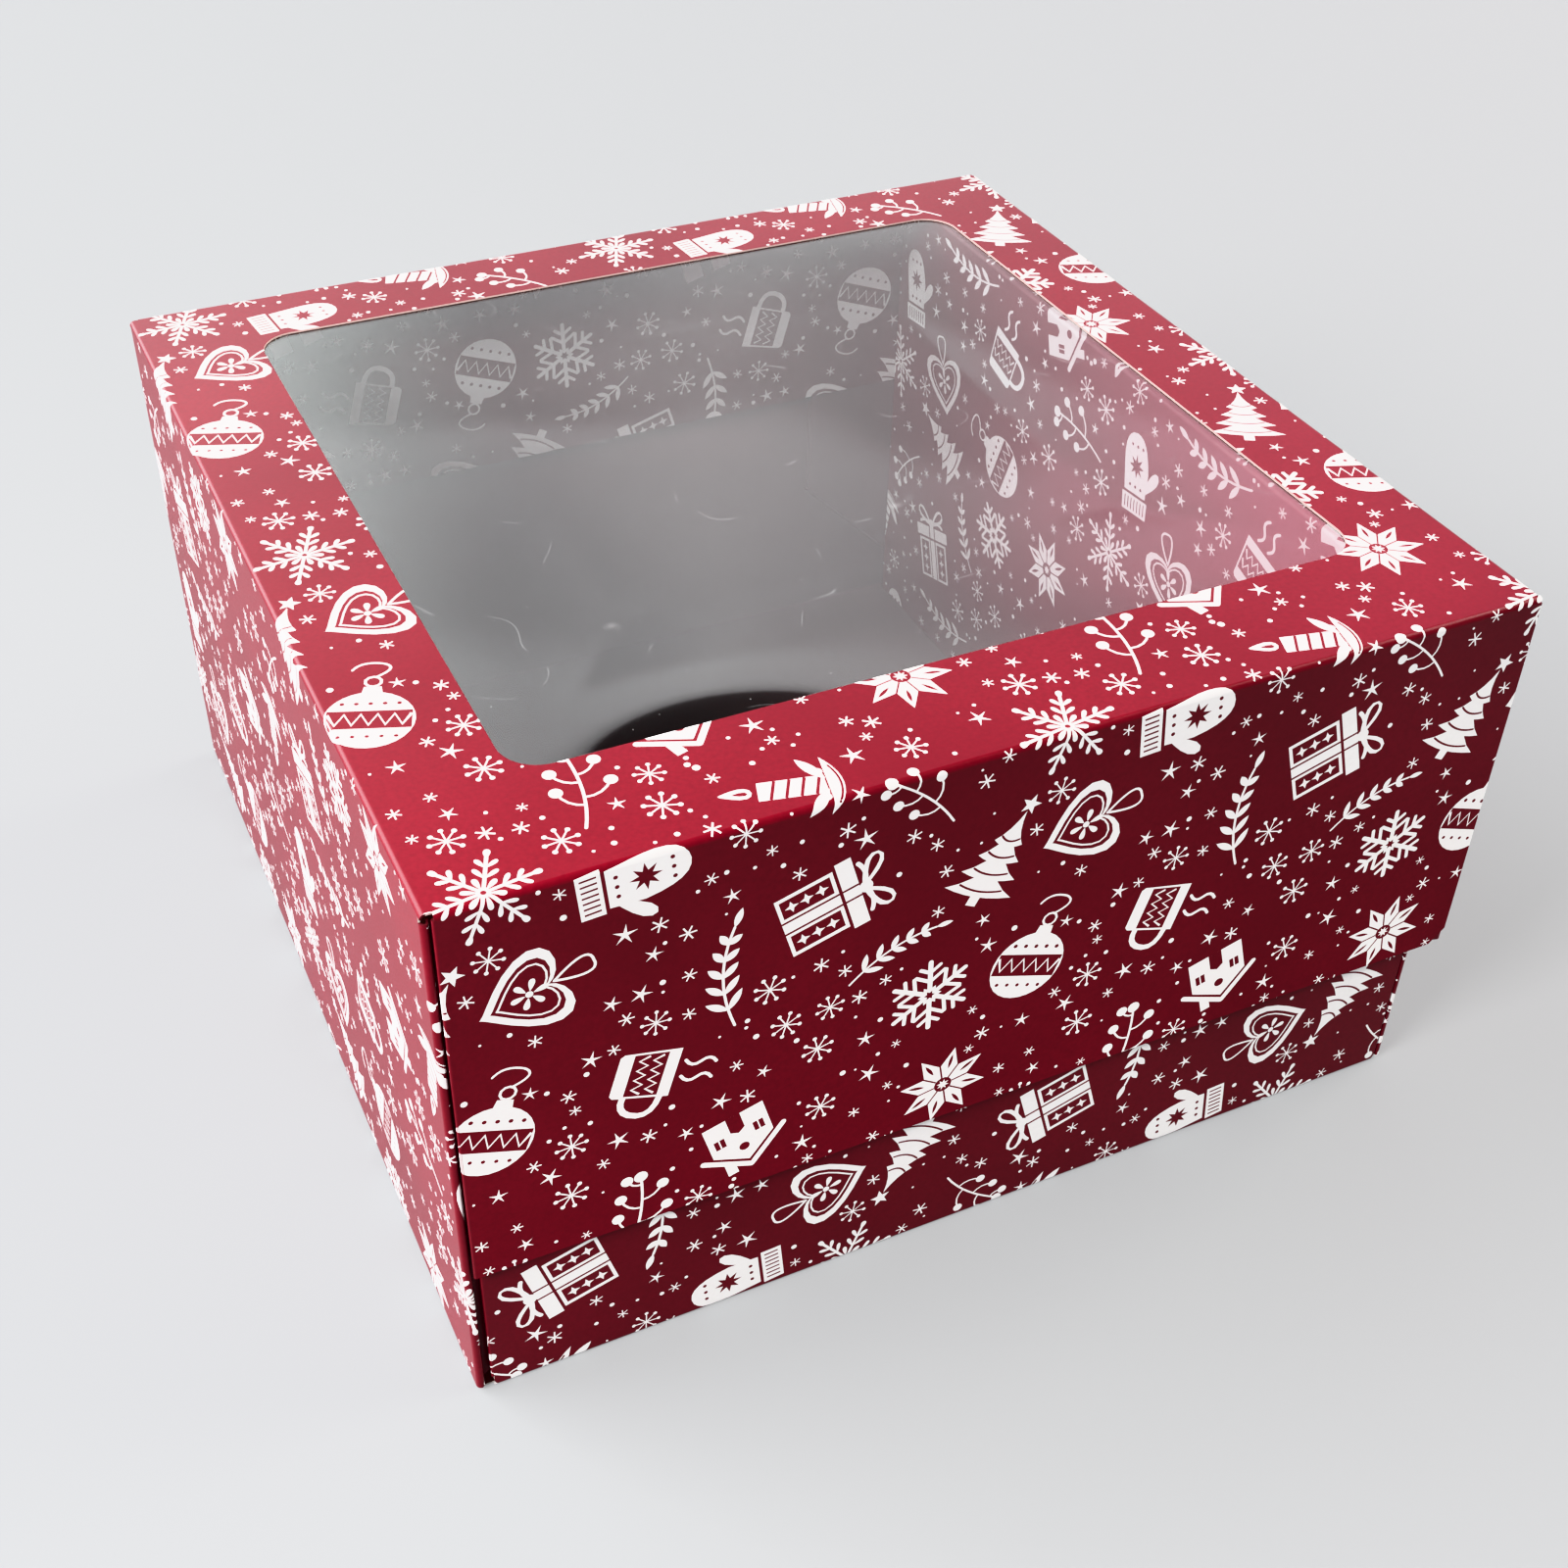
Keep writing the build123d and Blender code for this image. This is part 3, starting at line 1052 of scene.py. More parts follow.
@dataclass
class Repeat:
    """The print's square repeat, strewn with ornaments that keep clear of each other.

    It is parted into square cells. blocked holds, for large ornaments and for small ones,
    the cells that one of them can no longer reach into. All lengths are in millimetres.
    """

    side: float = 121.6
    seed: int = 5
    large_gap: float = 3.0
    small_gap: float = 1.5
    cell: float = 0.8
    cells_apart: float = 1.6
    tries: int = 4000
    blocked: dict[bool, set] = field(default_factory=lambda: {True: set(), False: set()})
    stamps: list[Stamped] = field(default_factory=list)

    def strew(self) -> list[Stamped]:
        """Fill the repeat.

        Returns:
            The ornaments, with places in millimetres.
        """
        dice = random.Random(self.seed)
        meshes: dict[str, bpy.types.Mesh] = {}
        for draw, size in LARGE_ORNAMENTS:
            self._try_place(self._mesh(draw, meshes), dice, True, size)
        for draw, count, least, most in FILLERS:
            for _ in range(count):
                size = dice.uniform(least, most)
                self._try_place(self._mesh(draw, meshes), dice, False, size)
        LOG.info("repeat: %d ornaments", len(self.stamps))
        return self.stamps

    @staticmethod
    def _mesh(draw: Drawing, meshes: dict[str, bpy.types.Mesh]) -> bpy.types.Mesh:
        """The mesh of an ornament, drawn the first time it is asked for.

        Args:
            draw: what draws it.
            meshes: the meshes drawn so far, by name.

        Returns:
            The mesh.
        """
        name = draw.__name__.removeprefix("draw_")
        if name not in meshes:
            art = Stencil()
            draw(art)
            meshes[name] = art.finish(name)
        return meshes[name]

    def _try_place(
        self, mesh: bpy.types.Mesh, dice: random.Random, large: bool, size: float
    ) -> None:
        """Try places for an ornament until one is clear.

        Args:
            mesh: the ornament.
            dice: the source of chance.
            large: whether it is one of the large ones.
            size: its scale.
        """
        spots = self._spots(mesh)
        for _ in range(self.tries):
            place = Vector((dice.uniform(0, self.side), dice.uniform(0, self.side)))
            turn = dice.uniform(0, 2 * math.pi)
            spin = Matrix.Rotation(turn, 2) * size
            moved = [spin @ spot + place for spot in spots]
            if any(self._cell_of(spot) in self.blocked[large] for spot in moved):
                continue
            for spot in moved:
                self._block(spot, self.large_gap if large else self.small_gap, True)
                self._block(spot, self.small_gap, False)
            reach = max(spot.length for spot in spots) * size
            self.stamps.append(Stamped(mesh, place, turn, size, reach))
            return

    def _spots(self, mesh: bpy.types.Mesh) -> list[Vector]:
        """Points spread over an ornament's faces, about one to a cell, in millimetres.

        Args:
            mesh: the ornament.

        Returns:
            The points.
        """
        spots = []
        for face in mesh.polygons:
            corners = [mesh.vertices[i].co.xy / MM for i in face.vertices]
            middle = sum(corners, ORIGIN) / len(corners)
            for one, other in zip(corners, corners[1:] + corners[:1]):
                one, other = one - middle, other - middle
                longest = max(one.length, other.length)
                steps = max(1, math.ceil(longest / self.cell / self.cells_apart))
                spots += [
                    middle + one * i / steps + other * j / steps
                    for i in range(steps + 1)
                    for j in range(steps + 1 - i)
                ]
        seen = {(round(spot.x / self.cell), round(spot.y / self.cell)): spot for spot in spots}
        return list(seen.values())

    def _cell_of(self, spot: Vector) -> tuple[int, int]:
        """The cell of the repeat that a point falls in."""
        count = round(self.side / self.cell)
        return int(spot.x // self.cell) % count, int(spot.y // self.cell) % count

    def _block(self, spot: Vector, gap: float, large: bool) -> None:
        """Block the cells within a gap of a point.

        Args:
            spot: the point.
            gap: how wide the gap is.
            large: which ornaments it keeps out.
        """
        steps = math.ceil(gap / self.cell)
        for i in range(-steps, steps + 1):
            for j in range(-steps, steps + 1):
                if math.hypot(i, j) * self.cell <= gap:
                    shift = Vector((i, j)) * self.cell
                    self.blocked[large].add(self._cell_of(spot + shift))


# The folded sheet


@dataclass(frozen=True)
class Stretch:
    """A length of board along a strip, flat or bent to a radius on its printed side."""

    length: float
    radius: float = 0.0


def bent(radius: float, degrees: float) -> Stretch:
    """A stretch that turns through an angle."""
    return Stretch(radius * math.radians(degrees), radius)


@dataclass(frozen=True)
class Cut:
    """A straight cut across the flat strip: what lies on its outer side falls off."""

    along: float
    across: float
    out_along: float
    out_across: float


@dataclass(frozen=True)
class Strip:
    """A panel's printed side: where it lies on the flat sheet and how it folds into the box.

    along runs from the strip's start in the direction of run, and across, from low to high,
    is square to it on the printed side, which looks towards face. The print's place on the
    flat sheet follows from flat_start and flat_run. All lengths are in metres.
    """

    name: str
    start: Point
    run: Vector
    face: Vector
    flat_start: Point
    flat_run: Vector
    stretches: tuple[Stretch, ...]
    low: float
    high: float
    cuts: tuple[Cut, ...] = ()

    @property
    def length(self) -> float:
        """The strip's length along its printed side."""
        return sum(stretch.length for stretch in self.stretches)

    def mirrored(self) -> Strip:
        """The same strip at the box's right side, for a strip at its left.

        Returns:
            The other strip.
        """
        flip = Vector((1, -1, 1))
        return replace(
            self,
            name=self.name.replace("left", "right"),
            start=Vector(self.start) * flip,
            run=self.run * flip,
            face=self.face * flip,
            flat_start=Vector(self.flat_start) * flip.xy,
            flat_run=self.flat_run * flip.xy,
            low=-self.high,
            high=-self.low,
            cuts=tuple(Cut(cut.along, -cut.across, cut.out_along, -cut.out_across) for cut in self.cuts),
        )

    def fold(self, point: Vector) -> Vector:
        """Fold a point of the flat strip into the box.

        Args:
            point: its place along, across and above the strip's printed side.

        Returns:
            Its place in the box.
        """
        along, out, angle, left = 0.0, 0.0, 0.0, point.x
        for stretch in self.stretches:
            step = min(left, stretch.length) if stretch is not self.stretches[-1] else left
            if stretch.radius:
                turned = angle + step / stretch.radius
                along += stretch.radius * (math.sin(turned) - math.sin(angle))
                out += stretch.radius * (math.cos(turned) - math.cos(angle))
                angle = turned
            else:
                along += step * math.cos(angle)
                out -= step * math.sin(angle)
            left -= step
            if left <= 0:
                break
        along += point.z * math.sin(angle)
        out += point.z * math.cos(angle)
        side = self.face.cross(self.run)
        return Vector(self.start) + self.run * along + self.face * out + side * point.y

    def crease_lines(self, steps: int = 6) -> list[float]:
        """Where the strip has to be divided so that it can bend.

        Args:
            steps: how many flat pieces a bend has.

        Returns:
            Places along the strip.
        """
        lines, at = [], 0.0
        for stretch in self.stretches:
            if stretch.radius:
                lines += [at + stretch.length * i / steps for i in range(steps + 1)]
            at += stretch.length
        return lines


def with_mirrored(rows: tuple[tuple, ...]) -> list[Strip]:
    """A strip for each row of its values, then their likes at the right for those at the left."""
    strips = [Strip(*row) for row in rows]
    return strips + [strip.mirrored() for strip in strips if "left" in strip.name]


@dataclass(frozen=True)
class Window:
    """The window hole in the lid's top, in metres."""

    low: Vector
    high: Vector
    radius: float
    corner_steps: int = 5

    def holds(self, point: Vector, spare: float = 0.0) -> bool:
        """Whether a point lies in the hole, at least spare from its edge.

        Args:
            point: the point, in the box's X and Y.
            spare: the least distance.

        Returns:
            True if it does.
        """
        inset = Vector((self.radius, self.radius))
        low, high = self.low + inset, self.high - inset
        x = max(low.x - point.x, point.x - high.x, 0.0)
        y = max(low.y - point.y, point.y - high.y, 0.0)
        return math.hypot(x, y) < self.radius - spare

    def trims(self) -> list[tuple[Vector, Vector]]:
        """Lines that follow the hole's edge, each as a point and its way outwards.

        Returns:
            The lines.
        """
        corners = (self.high, self.high, self.low, self.low)
        lines = [(corner, polar(1, 90 * turn)) for turn, corner in enumerate(corners)]
        inset = self.radius
        right, left = self.high.x - inset, self.low.x + inset
        top, bottom = self.high.y - inset, self.low.y + inset
        middles = ((right, top), (left, top), (left, bottom), (right, bottom))
        for turn, middle in enumerate(middles):
            for i in range(1, self.corner_steps):
                way = polar(1, 90 * turn + 90 * i / self.corner_steps)
                lines.append((Vector(middle) + way * inset, way))
        return lines


@dataclass
class Press:
    """Prints the repeat on the strips of the sheet, cuts them out and folds them.

    The ornaments and the repeat's side are in millimetres, as they are drawn. The ink lies
    a little above the board, so that the two don't share a plane.
    """

    stamps: list[Stamped]
    side: float
    inks: list[bpy.types.Material]
    lift: float = 0.012 * MM

    def print_strip(self, strip: Strip, window: Window | None = None) -> bpy.types.Object:
        """Make the ink that lies on one strip.

        Args:
            strip: the panel to print.
            window: a hole in it, if it has one.

        Returns:
            The ink's object.
        """
        mesh = bmesh.new()
        self._lay(mesh, strip, window)
        self._cut(mesh, strip, window)
        for line in strip.crease_lines():
            self._bisect(mesh, (line, 0), (1, 0), False)
        for vert in mesh.verts:
            vert.co = strip.fold(vert.co + Vector((0, 0, self.lift)))
        piece = make_piece(f"print_{strip.name}", mesh, self.inks)
        LOG.info("%s: %d faces", piece.name, len(piece.data.polygons))
        return piece

    def _lay(self, mesh: BMesh, strip: Strip, window: Window | None) -> None:
        """Lay every ornament that touches the strip on it, flat.

        Args:
            mesh: the ink's flat mesh.
            strip: the strip.
            window: the hole in it, if it has one.
        """
        start, flat_side = Vector(strip.flat_start), Vector((-strip.flat_run.y, strip.flat_run.x))
        corners = [
            start + strip.flat_run * along + flat_side * across
            for along in (0, strip.length)
            for across in (strip.low, strip.high)
        ]
        tile, lean = self.side * MM, math.atan2(strip.flat_run.y, strip.flat_run.x)
        reach = max(stamp.reach for stamp in self.stamps) * MM
        columns, rows = (
            range(math.floor((min(at) - reach) / tile), math.ceil((max(at) + reach) / tile))
            for at in zip(*corners)
        )
        for stamp, column, row in product(self.stamps, columns, rows):
            flat = stamp.place * MM + Vector((column, row)) * tile - start
            place, reach = Vector((flat.dot(strip.flat_run), flat.dot(flat_side))), stamp.reach * MM
            on_length = -reach < place.x < strip.length + reach
            on_width = strip.low - reach < place.y < strip.high + reach
            in_hole = window and window.holds(Vector(strip.start).xy + place, reach)
            if not (on_length and on_width) or in_hole:
                continue
            move, spin = Matrix.Translation((*place, 0)), Matrix.Rotation(stamp.turn - lean, 4, "Z")
            copy = stamp.mesh.copy()
            copy.transform(move @ spin @ Matrix.Diagonal((stamp.size, stamp.size, 1, 1)))
            mesh.from_mesh(copy)
            bpy.data.meshes.remove(copy)

    def _cut(self, mesh: BMesh, strip: Strip, window: Window | None) -> None:
        """Cut the ink off at the strip's edges and round its window.

        Args:
            mesh: the ink's flat mesh.
            strip: the strip.
            window: the hole in it, if it has one.
        """
        edges = [Cut(0, 0, -1, 0), Cut(strip.length, 0, 1, 0)]
        edges += [Cut(0, strip.low, 0, -1), Cut(0, strip.high, 0, 1), *strip.cuts]
        for cut in edges:
            point, way = (cut.along, cut.across), (cut.out_along, cut.out_across)
            self._bisect(mesh, point, way, True)
        if window:
            start = Vector(strip.start).xy
            for point, way in window.trims():
                self._bisect(mesh, point - start, way, False)
            inside = [f for f in mesh.faces if window.holds(start + f.calc_center_median().xy)]
            bmesh.ops.delete(mesh, geom=inside, context="FACES")

    @staticmethod
    def _bisect(mesh: BMesh, point: Point, way: Point, clear: bool) -> None:
        """Divide the flat mesh along a line, and drop what lies beyond it if told to.

        Args:
            mesh: the mesh.
            point: a point of the line.
            way: the way square to it, outwards.
            clear: whether what lies beyond it is dropped.
        """
        bmesh.ops.bisect_plane(
            mesh,
            geom=[*mesh.verts, *mesh.edges, *mesh.faces],
            dist=CUT_TOLERANCE,
            plane_co=(*point, 0),
            plane_no=(*way, 0),
            clear_outer=clear,
        )


# The box


@dataclass
class Sizes:
    """The box's sizes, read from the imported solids."""

    hinge_x: float
    opening_x: float
    front_x: float
    lining_x: float
    lid_y: float
    tray_y: float
    web_drop: float
    top_z: float
    rim_z: float
    flap_z: float
    crease: float
    board: float

    @classmethod
    def from_frame(cls) -> Sizes:
        """Read the sizes from the solids' boxes.

        Returns:
            The sizes.
        """
        top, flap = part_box("lid_top_panel"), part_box("lid_front_flap")
        wall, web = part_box("tray_left_wall"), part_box("tray_rear_left_web")
        return cls(
            hinge_x=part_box("tray_rear_wall")[0].x,
            opening_x=flap[1].x,
            front_x=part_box("tray_front_wall")[1].x,
            lining_x=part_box("tray_front_lining")[0].x,
            lid_y=-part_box("lid_left_flap")[0].y,
            tray_y=-wall[0].y,
            web_drop=web[1].y - web[0].y - (top[1].z - top[0].z),
            top_z=top[1].z,
            rim_z=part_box("tray_left_lining")[1].z,
            flap_z=flap[0].z,
            crease=flap[1].x - top[1].x,
            board=top[1].z - top[0].z,
        )

    @property
    def arc(self) -> float:
        """The length of a square crease along its printed side."""
        return self.crease * math.pi / 2

    @property
    def below_crease(self) -> float:
        """The height just under the lid's creases."""
        return self.top_z - self.crease


def dress(node: str, ways: Ways, curl: Curl | None = None) -> None:
    """Give a packed panel its board finish, printed on the sides that look those ways.

    The cut edges at the folded corners are dark, and the top panel's darker and redder, all as
    painted shade.

    Args:
        node: the panel's node.
        ways: the directions that its printed sides look in.
        curl: how it curls, if it does.
    """
    # The dark edges at webs, flaps and hems, and the top panel's darker red edge, are painted shade
    edges = {"web": DARK_EDGE_IN_PAINTED_SHADE, "flap": DARK_EDGE_IN_PAINTED_SHADE, "hem": DARK_EDGE_IN_PAINTED_SHADE, "panel": TINGED_EDGE_IN_PAINTED_SHADE}
    edge = edges.get(node.rsplit("_", 1)[-1], BOARD_EDGE)
    finish = PrintedBoard(ways, edge, curl)
    for slot in bpy.data.objects[node].material_slots:
        slot.link = "OBJECT"
        slot.material = make_material(f"box board, {node}", finish.shader)
    LOG.info("%s dressed", node)


# The print goes round each crease, so a panel that begins with one looks two ways
LID_WAYS: dict[str, Ways] = {
    "lid_top_panel": (Z,),
    "lid_front_flap": (X, Z),
    "lid_left_flap": (-Y, Z),
    "lid_right_flap": (Y, Z),
    "lid_left_hem": (-X, Y),
    "lid_right_hem": (-X, -Y),
    "lid_left_ear": (X, -Y),
    "lid_right_ear": (X, Y),
}

TRAY_WAYS: dict[str, Ways] = {
    "tray_floor": (-Z,),
    "tray_rear_wall": (-X, -Z),
    "tray_left_wall": (-Y, -Z),
    "tray_right_wall": (Y, -Z),
    "tray_left_lining": (Y, Z),
    "tray_right_lining": (-Y, Z),
    "tray_front_wall": (X, -Z),
    "tray_front_ledge": (X, Z),
    "tray_front_lining": (-X, Z),
    "tray_front_foot": (-X, -Z),
    "tray_rear_left_web": (-X, -Y),
    "tray_rear_right_web": (-X, Y),
    "tray_front_left_web": (X, -Y),
    "tray_front_right_web": (X, Y),
}


@dataclass
class Lid:
    """The hood lid: top with its window, flaps, ears, tabs and film.

    Each of the film's ripples is a share of its height, half waves across and inwards, and
    a phase. They rise from the window's edges over a share of its width, and the buckle lies
    along a share of its left edge.
    """

    sizes: Sizes
    press: Press
    window_lap: float = 8.0 * MM
    window_radius: float = 9.0 * MM
    flap_end_cut: float = 4.0 * MM
    tab_taper: float = 5.0 * MM
    ear_turn: float = 75.0
    film_cuts: int = 120
    film_ripple: float = 0.42 * MM
    ripple_rise: float = 5.0
    ripples: tuple[tuple[float, ...], ...] = (
        (1.0, 2.3, 1.1, 0.7),
        (0.6, -1.7, 3.1, 0.0),
        (0.35, 5.3, 0.0, 0.4),
    )
    buckle_slope: float = 0.062
    buckle_depth: float = 22.0 * MM
    buckle_drop: float = 0.3 * MM
    buckle_length: float = 0.42

    def build(self) -> None:
        """Dress the lid's board, print it and lay its film."""
        s = self.sizes
        curl = Curl(s.below_crease, s.below_crease - s.flap_z)
        for node, ways in LID_WAYS.items():
            dress(node, ways, curl if node.endswith("flap") else None)
        flap_press = replace(self.press, inks=ink_pair("flaps", curl))
        self._print_top()
        for strip in self._flap_strips():
            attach(flap_press.print_strip(strip), "lid")
        self._lay_film()

    def window(self) -> Window:
        """The window hole, as far in from the film's edge as the film's lap.

        Returns:
            The hole.
        """
        low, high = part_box("window_film")
        lap = Vector((self.window_lap, self.window_lap))
        return Window(low.xy + lap, high.xy - lap, self.window_radius)

    def _print_top(self) -> None:
        """Print the top panel round its window."""
        low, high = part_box("lid_top_panel")
        across = (Stretch(high.x - low.x),)
        start, flat_start = (low.x, 0, high.z), (low.x, 0)
        strip = Strip("lid_top", start, X, Z, flat_start, EAST, across, low.y, high.y)
        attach(self.press.print_strip(strip, self.window()), "lid")

    def _flap_strips(self) -> list[Strip]:
        """The three flaps over their creases, and the folds at their ends.

        Returns:
            Their strips.
        """
        s = self.sizes
        top, low, high = s.below_crease, -s.below_crease, -s.flap_z
        edge_x, edge_y = s.opening_x - s.crease, s.lid_y - s.crease
        drop = top - s.flap_z
        over = (bent(s.crease, 90), Stretch(drop))
        flap_low, flap_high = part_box("lid_left_flap")
        tab_end, ear_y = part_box("lid_left_hem")[1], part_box("lid_front_flap")[1].y
        turn, tab = bent((tab_end.y + s.lid_y) / 2, 180), tab_end.x - flap_low.x
        end_cut = Cut(s.arc + drop, flap_high.x - self.flap_end_cut, 1, 1)
        tapers = (
            Cut(turn.length, low, self.tab_taper, -tab),
            Cut(turn.length, high, self.tab_taper, tab),
        )
        rows = (
            ("lid_front_flap", (edge_x, 0, s.top_z), X, Z, (edge_x, 0), EAST, over, -ear_y, ear_y),
            ("lid_left_flap", (0, -edge_y, s.top_z), -Y, Z, (0, -edge_y), -NORTH, over,
             flap_low.x, flap_high.x, (end_cut,)),
            ("lid_left_fold", (flap_low.x, -s.lid_y, 0), -X, -Y,
             (flap_low.x, -edge_y - s.arc - top), -EAST, (turn, Stretch(tab)), low, high, tapers),
            ("lid_left_corner", (s.opening_x, -ear_y, 0), -Y, X, (edge_x + s.arc + top, -ear_y),
             -NORTH, (bent(s.crease, self.ear_turn),), low, high),
        )
        return with_mirrored(rows)

    def _lay_film(self) -> None:
        """Lay the clear film under the window, faintly rippled where nothing holds it."""
        low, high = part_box("window_film")
        hole, cuts = self.window(), self.film_cuts
        mesh = bmesh.new()
        bmesh.ops.create_grid(mesh, x_segments=cuts, y_segments=cuts, size=0.5)
        bmesh.ops.scale(mesh, vec=(high.x - low.x, high.y - low.y, 1), verts=mesh.verts)
        middle = (low + high) / 2
        bmesh.ops.translate(mesh, vec=(middle.x, middle.y, high.z), verts=mesh.verts)
        cell = (high.y - low.y) / cuts
        for vert in mesh.verts:
            if abs(vert.co.y - hole.low.y) <= cell / 2:
                vert.co.y = hole.low.y
            vert.co.z -= self._film_dip(vert.co, hole)
        film = make_piece(
            "clear_window_film", mesh, [make_material("polyester window film", ClearFilm().shader)]
        )
        for face in film.data.polygons:
            face.use_smooth = True
        thick = film.modifiers.new("film thickness", "SOLIDIFY")
        thick.thickness, thick.offset = high.z - low.z, -1.0
        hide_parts("window_film")
        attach(film, "lid")
        LOG.info("film: %d faces", len(film.data.polygons))

    def _film_dip(self, place: Vector, hole: Window) -> float:
        """How far the film lies below the board's underside at a place.

        Where nothing holds it, the film ripples, and along the left edge it buckles: it
        starts low, rises in a curve and stays up.

        Args:
            place: a point of the film.
            hole: the window hole.

        Returns:
            The film's depth there, less than nothing where it stands proud.
        """
        across = (place.x - hole.low.x) / (hole.high.x - hole.low.x)
        deep = (place.y - hole.low.y) / (hole.high.y - hole.low.y)
        if not (0 < across < 1 and 0 <= deep < 1):
            return 0.0
        free = min(1.0, self.ripple_rise * min(across, 1 - across, deep, 1 - deep)) ** 2
        wave = sum(
            share * math.sin(math.pi * (a * across + b * deep) + phase)
            for share, a, b, phase in self.ripples
        )
        highest = sum(ripple[0] for ripple in self.ripples)
        sag = free * self.film_ripple * (1 + wave / highest)
        inward = min(place.y - hole.low.y, self.buckle_depth)
        rise = self.buckle_slope * (inward - inward**2 / (2 * self.buckle_depth))
        swell = math.sin(math.pi * min(1.0, across / self.buckle_length)) ** 2 * (1 - deep) ** 2
        return sag + swell * (self.buckle_drop - rise)


@dataclass
class Tray:
    """The tray: floor, hinge wall, side walls with linings, hollow front wall and webs."""

    sizes: Sizes
    press: Press
    web_dive: float = 75.0
    web_play: float = 0.05 * MM
    lining_end_cut: float = 8.0 * MM

    def build(self) -> None:
        """Dress the tray's board and print it."""
        for node, ways in TRAY_WAYS.items():
            dress(node, ways)
        for strip in [*self._middle_strips(), *self._side_strips()]:
            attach(self.press.print_strip(strip), "tray")

    def _middle_strips(self) -> list[Strip]:
        """The strips from the hinge wall under the floor and over the hollow wall.

        Returns:
            The strips, in their order on the flat sheet.
        """
        s, c = self.sizes, self.sizes.crease
        rear_x, front_x, square = s.hinge_x + c, s.front_x - c, bent(c, 90)
        nodes = ("tray_rear_wall", "tray_floor", "tray_front_ledge")
        wall_y, floor_y, hollow_y = (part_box(node)[1].y for node in nodes)
        wall, rise = Stretch(s.top_z - 2 * c), Stretch(s.rim_z - 2 * c)
        ledge = Stretch(s.front_x - s.lining_x - 2 * c)
        down = Stretch(s.rim_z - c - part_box("tray_front_lining")[0].z)
        rows = (
            ("rear_wall", (s.hinge_x, 0, s.below_crease), -Z, -X, (wall, square), wall_y),
            ("floor", (rear_x, 0, 0), X, -Z, (Stretch(front_x - rear_x),), floor_y),
            ("front_wall", (front_x, 0, 0), X, -Z, (square, rise), wall_y),
            ("front_ledge", (s.front_x, 0, s.rim_z - c), Z, X, (square, ledge), hollow_y),
            ("front_lining", (s.lining_x + c, 0, s.rim_z), -X, Z, (square, down), hollow_y),
        )
        strips, at = [], rear_x - s.arc
        for name, start, run, face, stretches, half in rows:
            strip = Strip(f"tray_{name}", start, run, face, (at, 0), -EAST, stretches, -half, half)
            strips.append(strip)
            at -= strip.length
        return strips

    def _side_strips(self) -> list[Strip]:
        """The strips of both side walls, their linings and their corner folds.

        Returns:
            The strips.
        """
        s, c = self.sizes, self.sizes.crease
        low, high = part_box("tray_left_wall")
        lining_low, lining_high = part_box("tray_left_lining")
        web_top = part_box("tray_rear_left_web")[1].z
        edge_y, square = s.tray_y - c, bent(c, 90)
        rear_end = s.hinge_x + c - 2 * s.arc - (s.top_z - 2 * c)
        front_end = rear_end - (s.front_x - s.hinge_x - 2 * c) - s.arc
        middle = rear_end + s.hinge_x + c
        rise, rim = Stretch(high.z - c), bent((lining_high.y - lining_low.y) / 2, 180)
        down = Stretch(s.rim_z - rim.radius - lining_low.z)
        depth, cut = rim.length + down.length, self.lining_end_cut
        end_cuts = (Cut(depth, -high.x + cut, 1, -1), Cut(depth, -low.x - cut, 1, 1))
        fold = bent(s.board + self.web_play, 180)
        fold_mid, turn = fold.radius - s.board / 2, math.radians(self.web_dive)
        dive = Stretch((s.web_drop - 2 * fold_mid * (1 - math.cos(turn))) / math.sin(turn))
        corner, folded_y = (square, bent(fold.radius, self.web_dive), dive), -edge_y - s.arc + c
        rows = (
            ("tray_left_wall", (0, -edge_y, 0), -Y, -Z, (middle, -edge_y), -NORTH,
             (square, rise), -high.x, -low.x),
            ("tray_left_lining", (0, -s.tray_y, high.z), Z, -Y,
             (middle, -edge_y - square.length - rise.length), -NORTH, (rim, down),
             -high.x, -low.x, end_cuts),
            ("tray_rear_left_corner", (s.hinge_x, -edge_y, 0), -Y, -X,
             (s.hinge_x + c - s.arc - s.below_crease, -edge_y), -NORTH, corner, c, web_top),
            ("tray_rear_left_fold", (low.x, -s.tray_y, 0), -X, -Y, (middle - low.x, folded_y),
             EAST, (fold,), -web_top, -4 * c),
            ("tray_front_left_corner", (s.front_x, -edge_y, 0), -Y, X, (front_end + c, -edge_y),
             -NORTH, corner, -web_top, -c),
            ("tray_front_left_fold", (high.x, -s.tray_y, 0), X, -Y, (middle - high.x, folded_y),
             -EAST, (fold,), 4 * c, web_top),
        )
        return with_mirrored(rows)


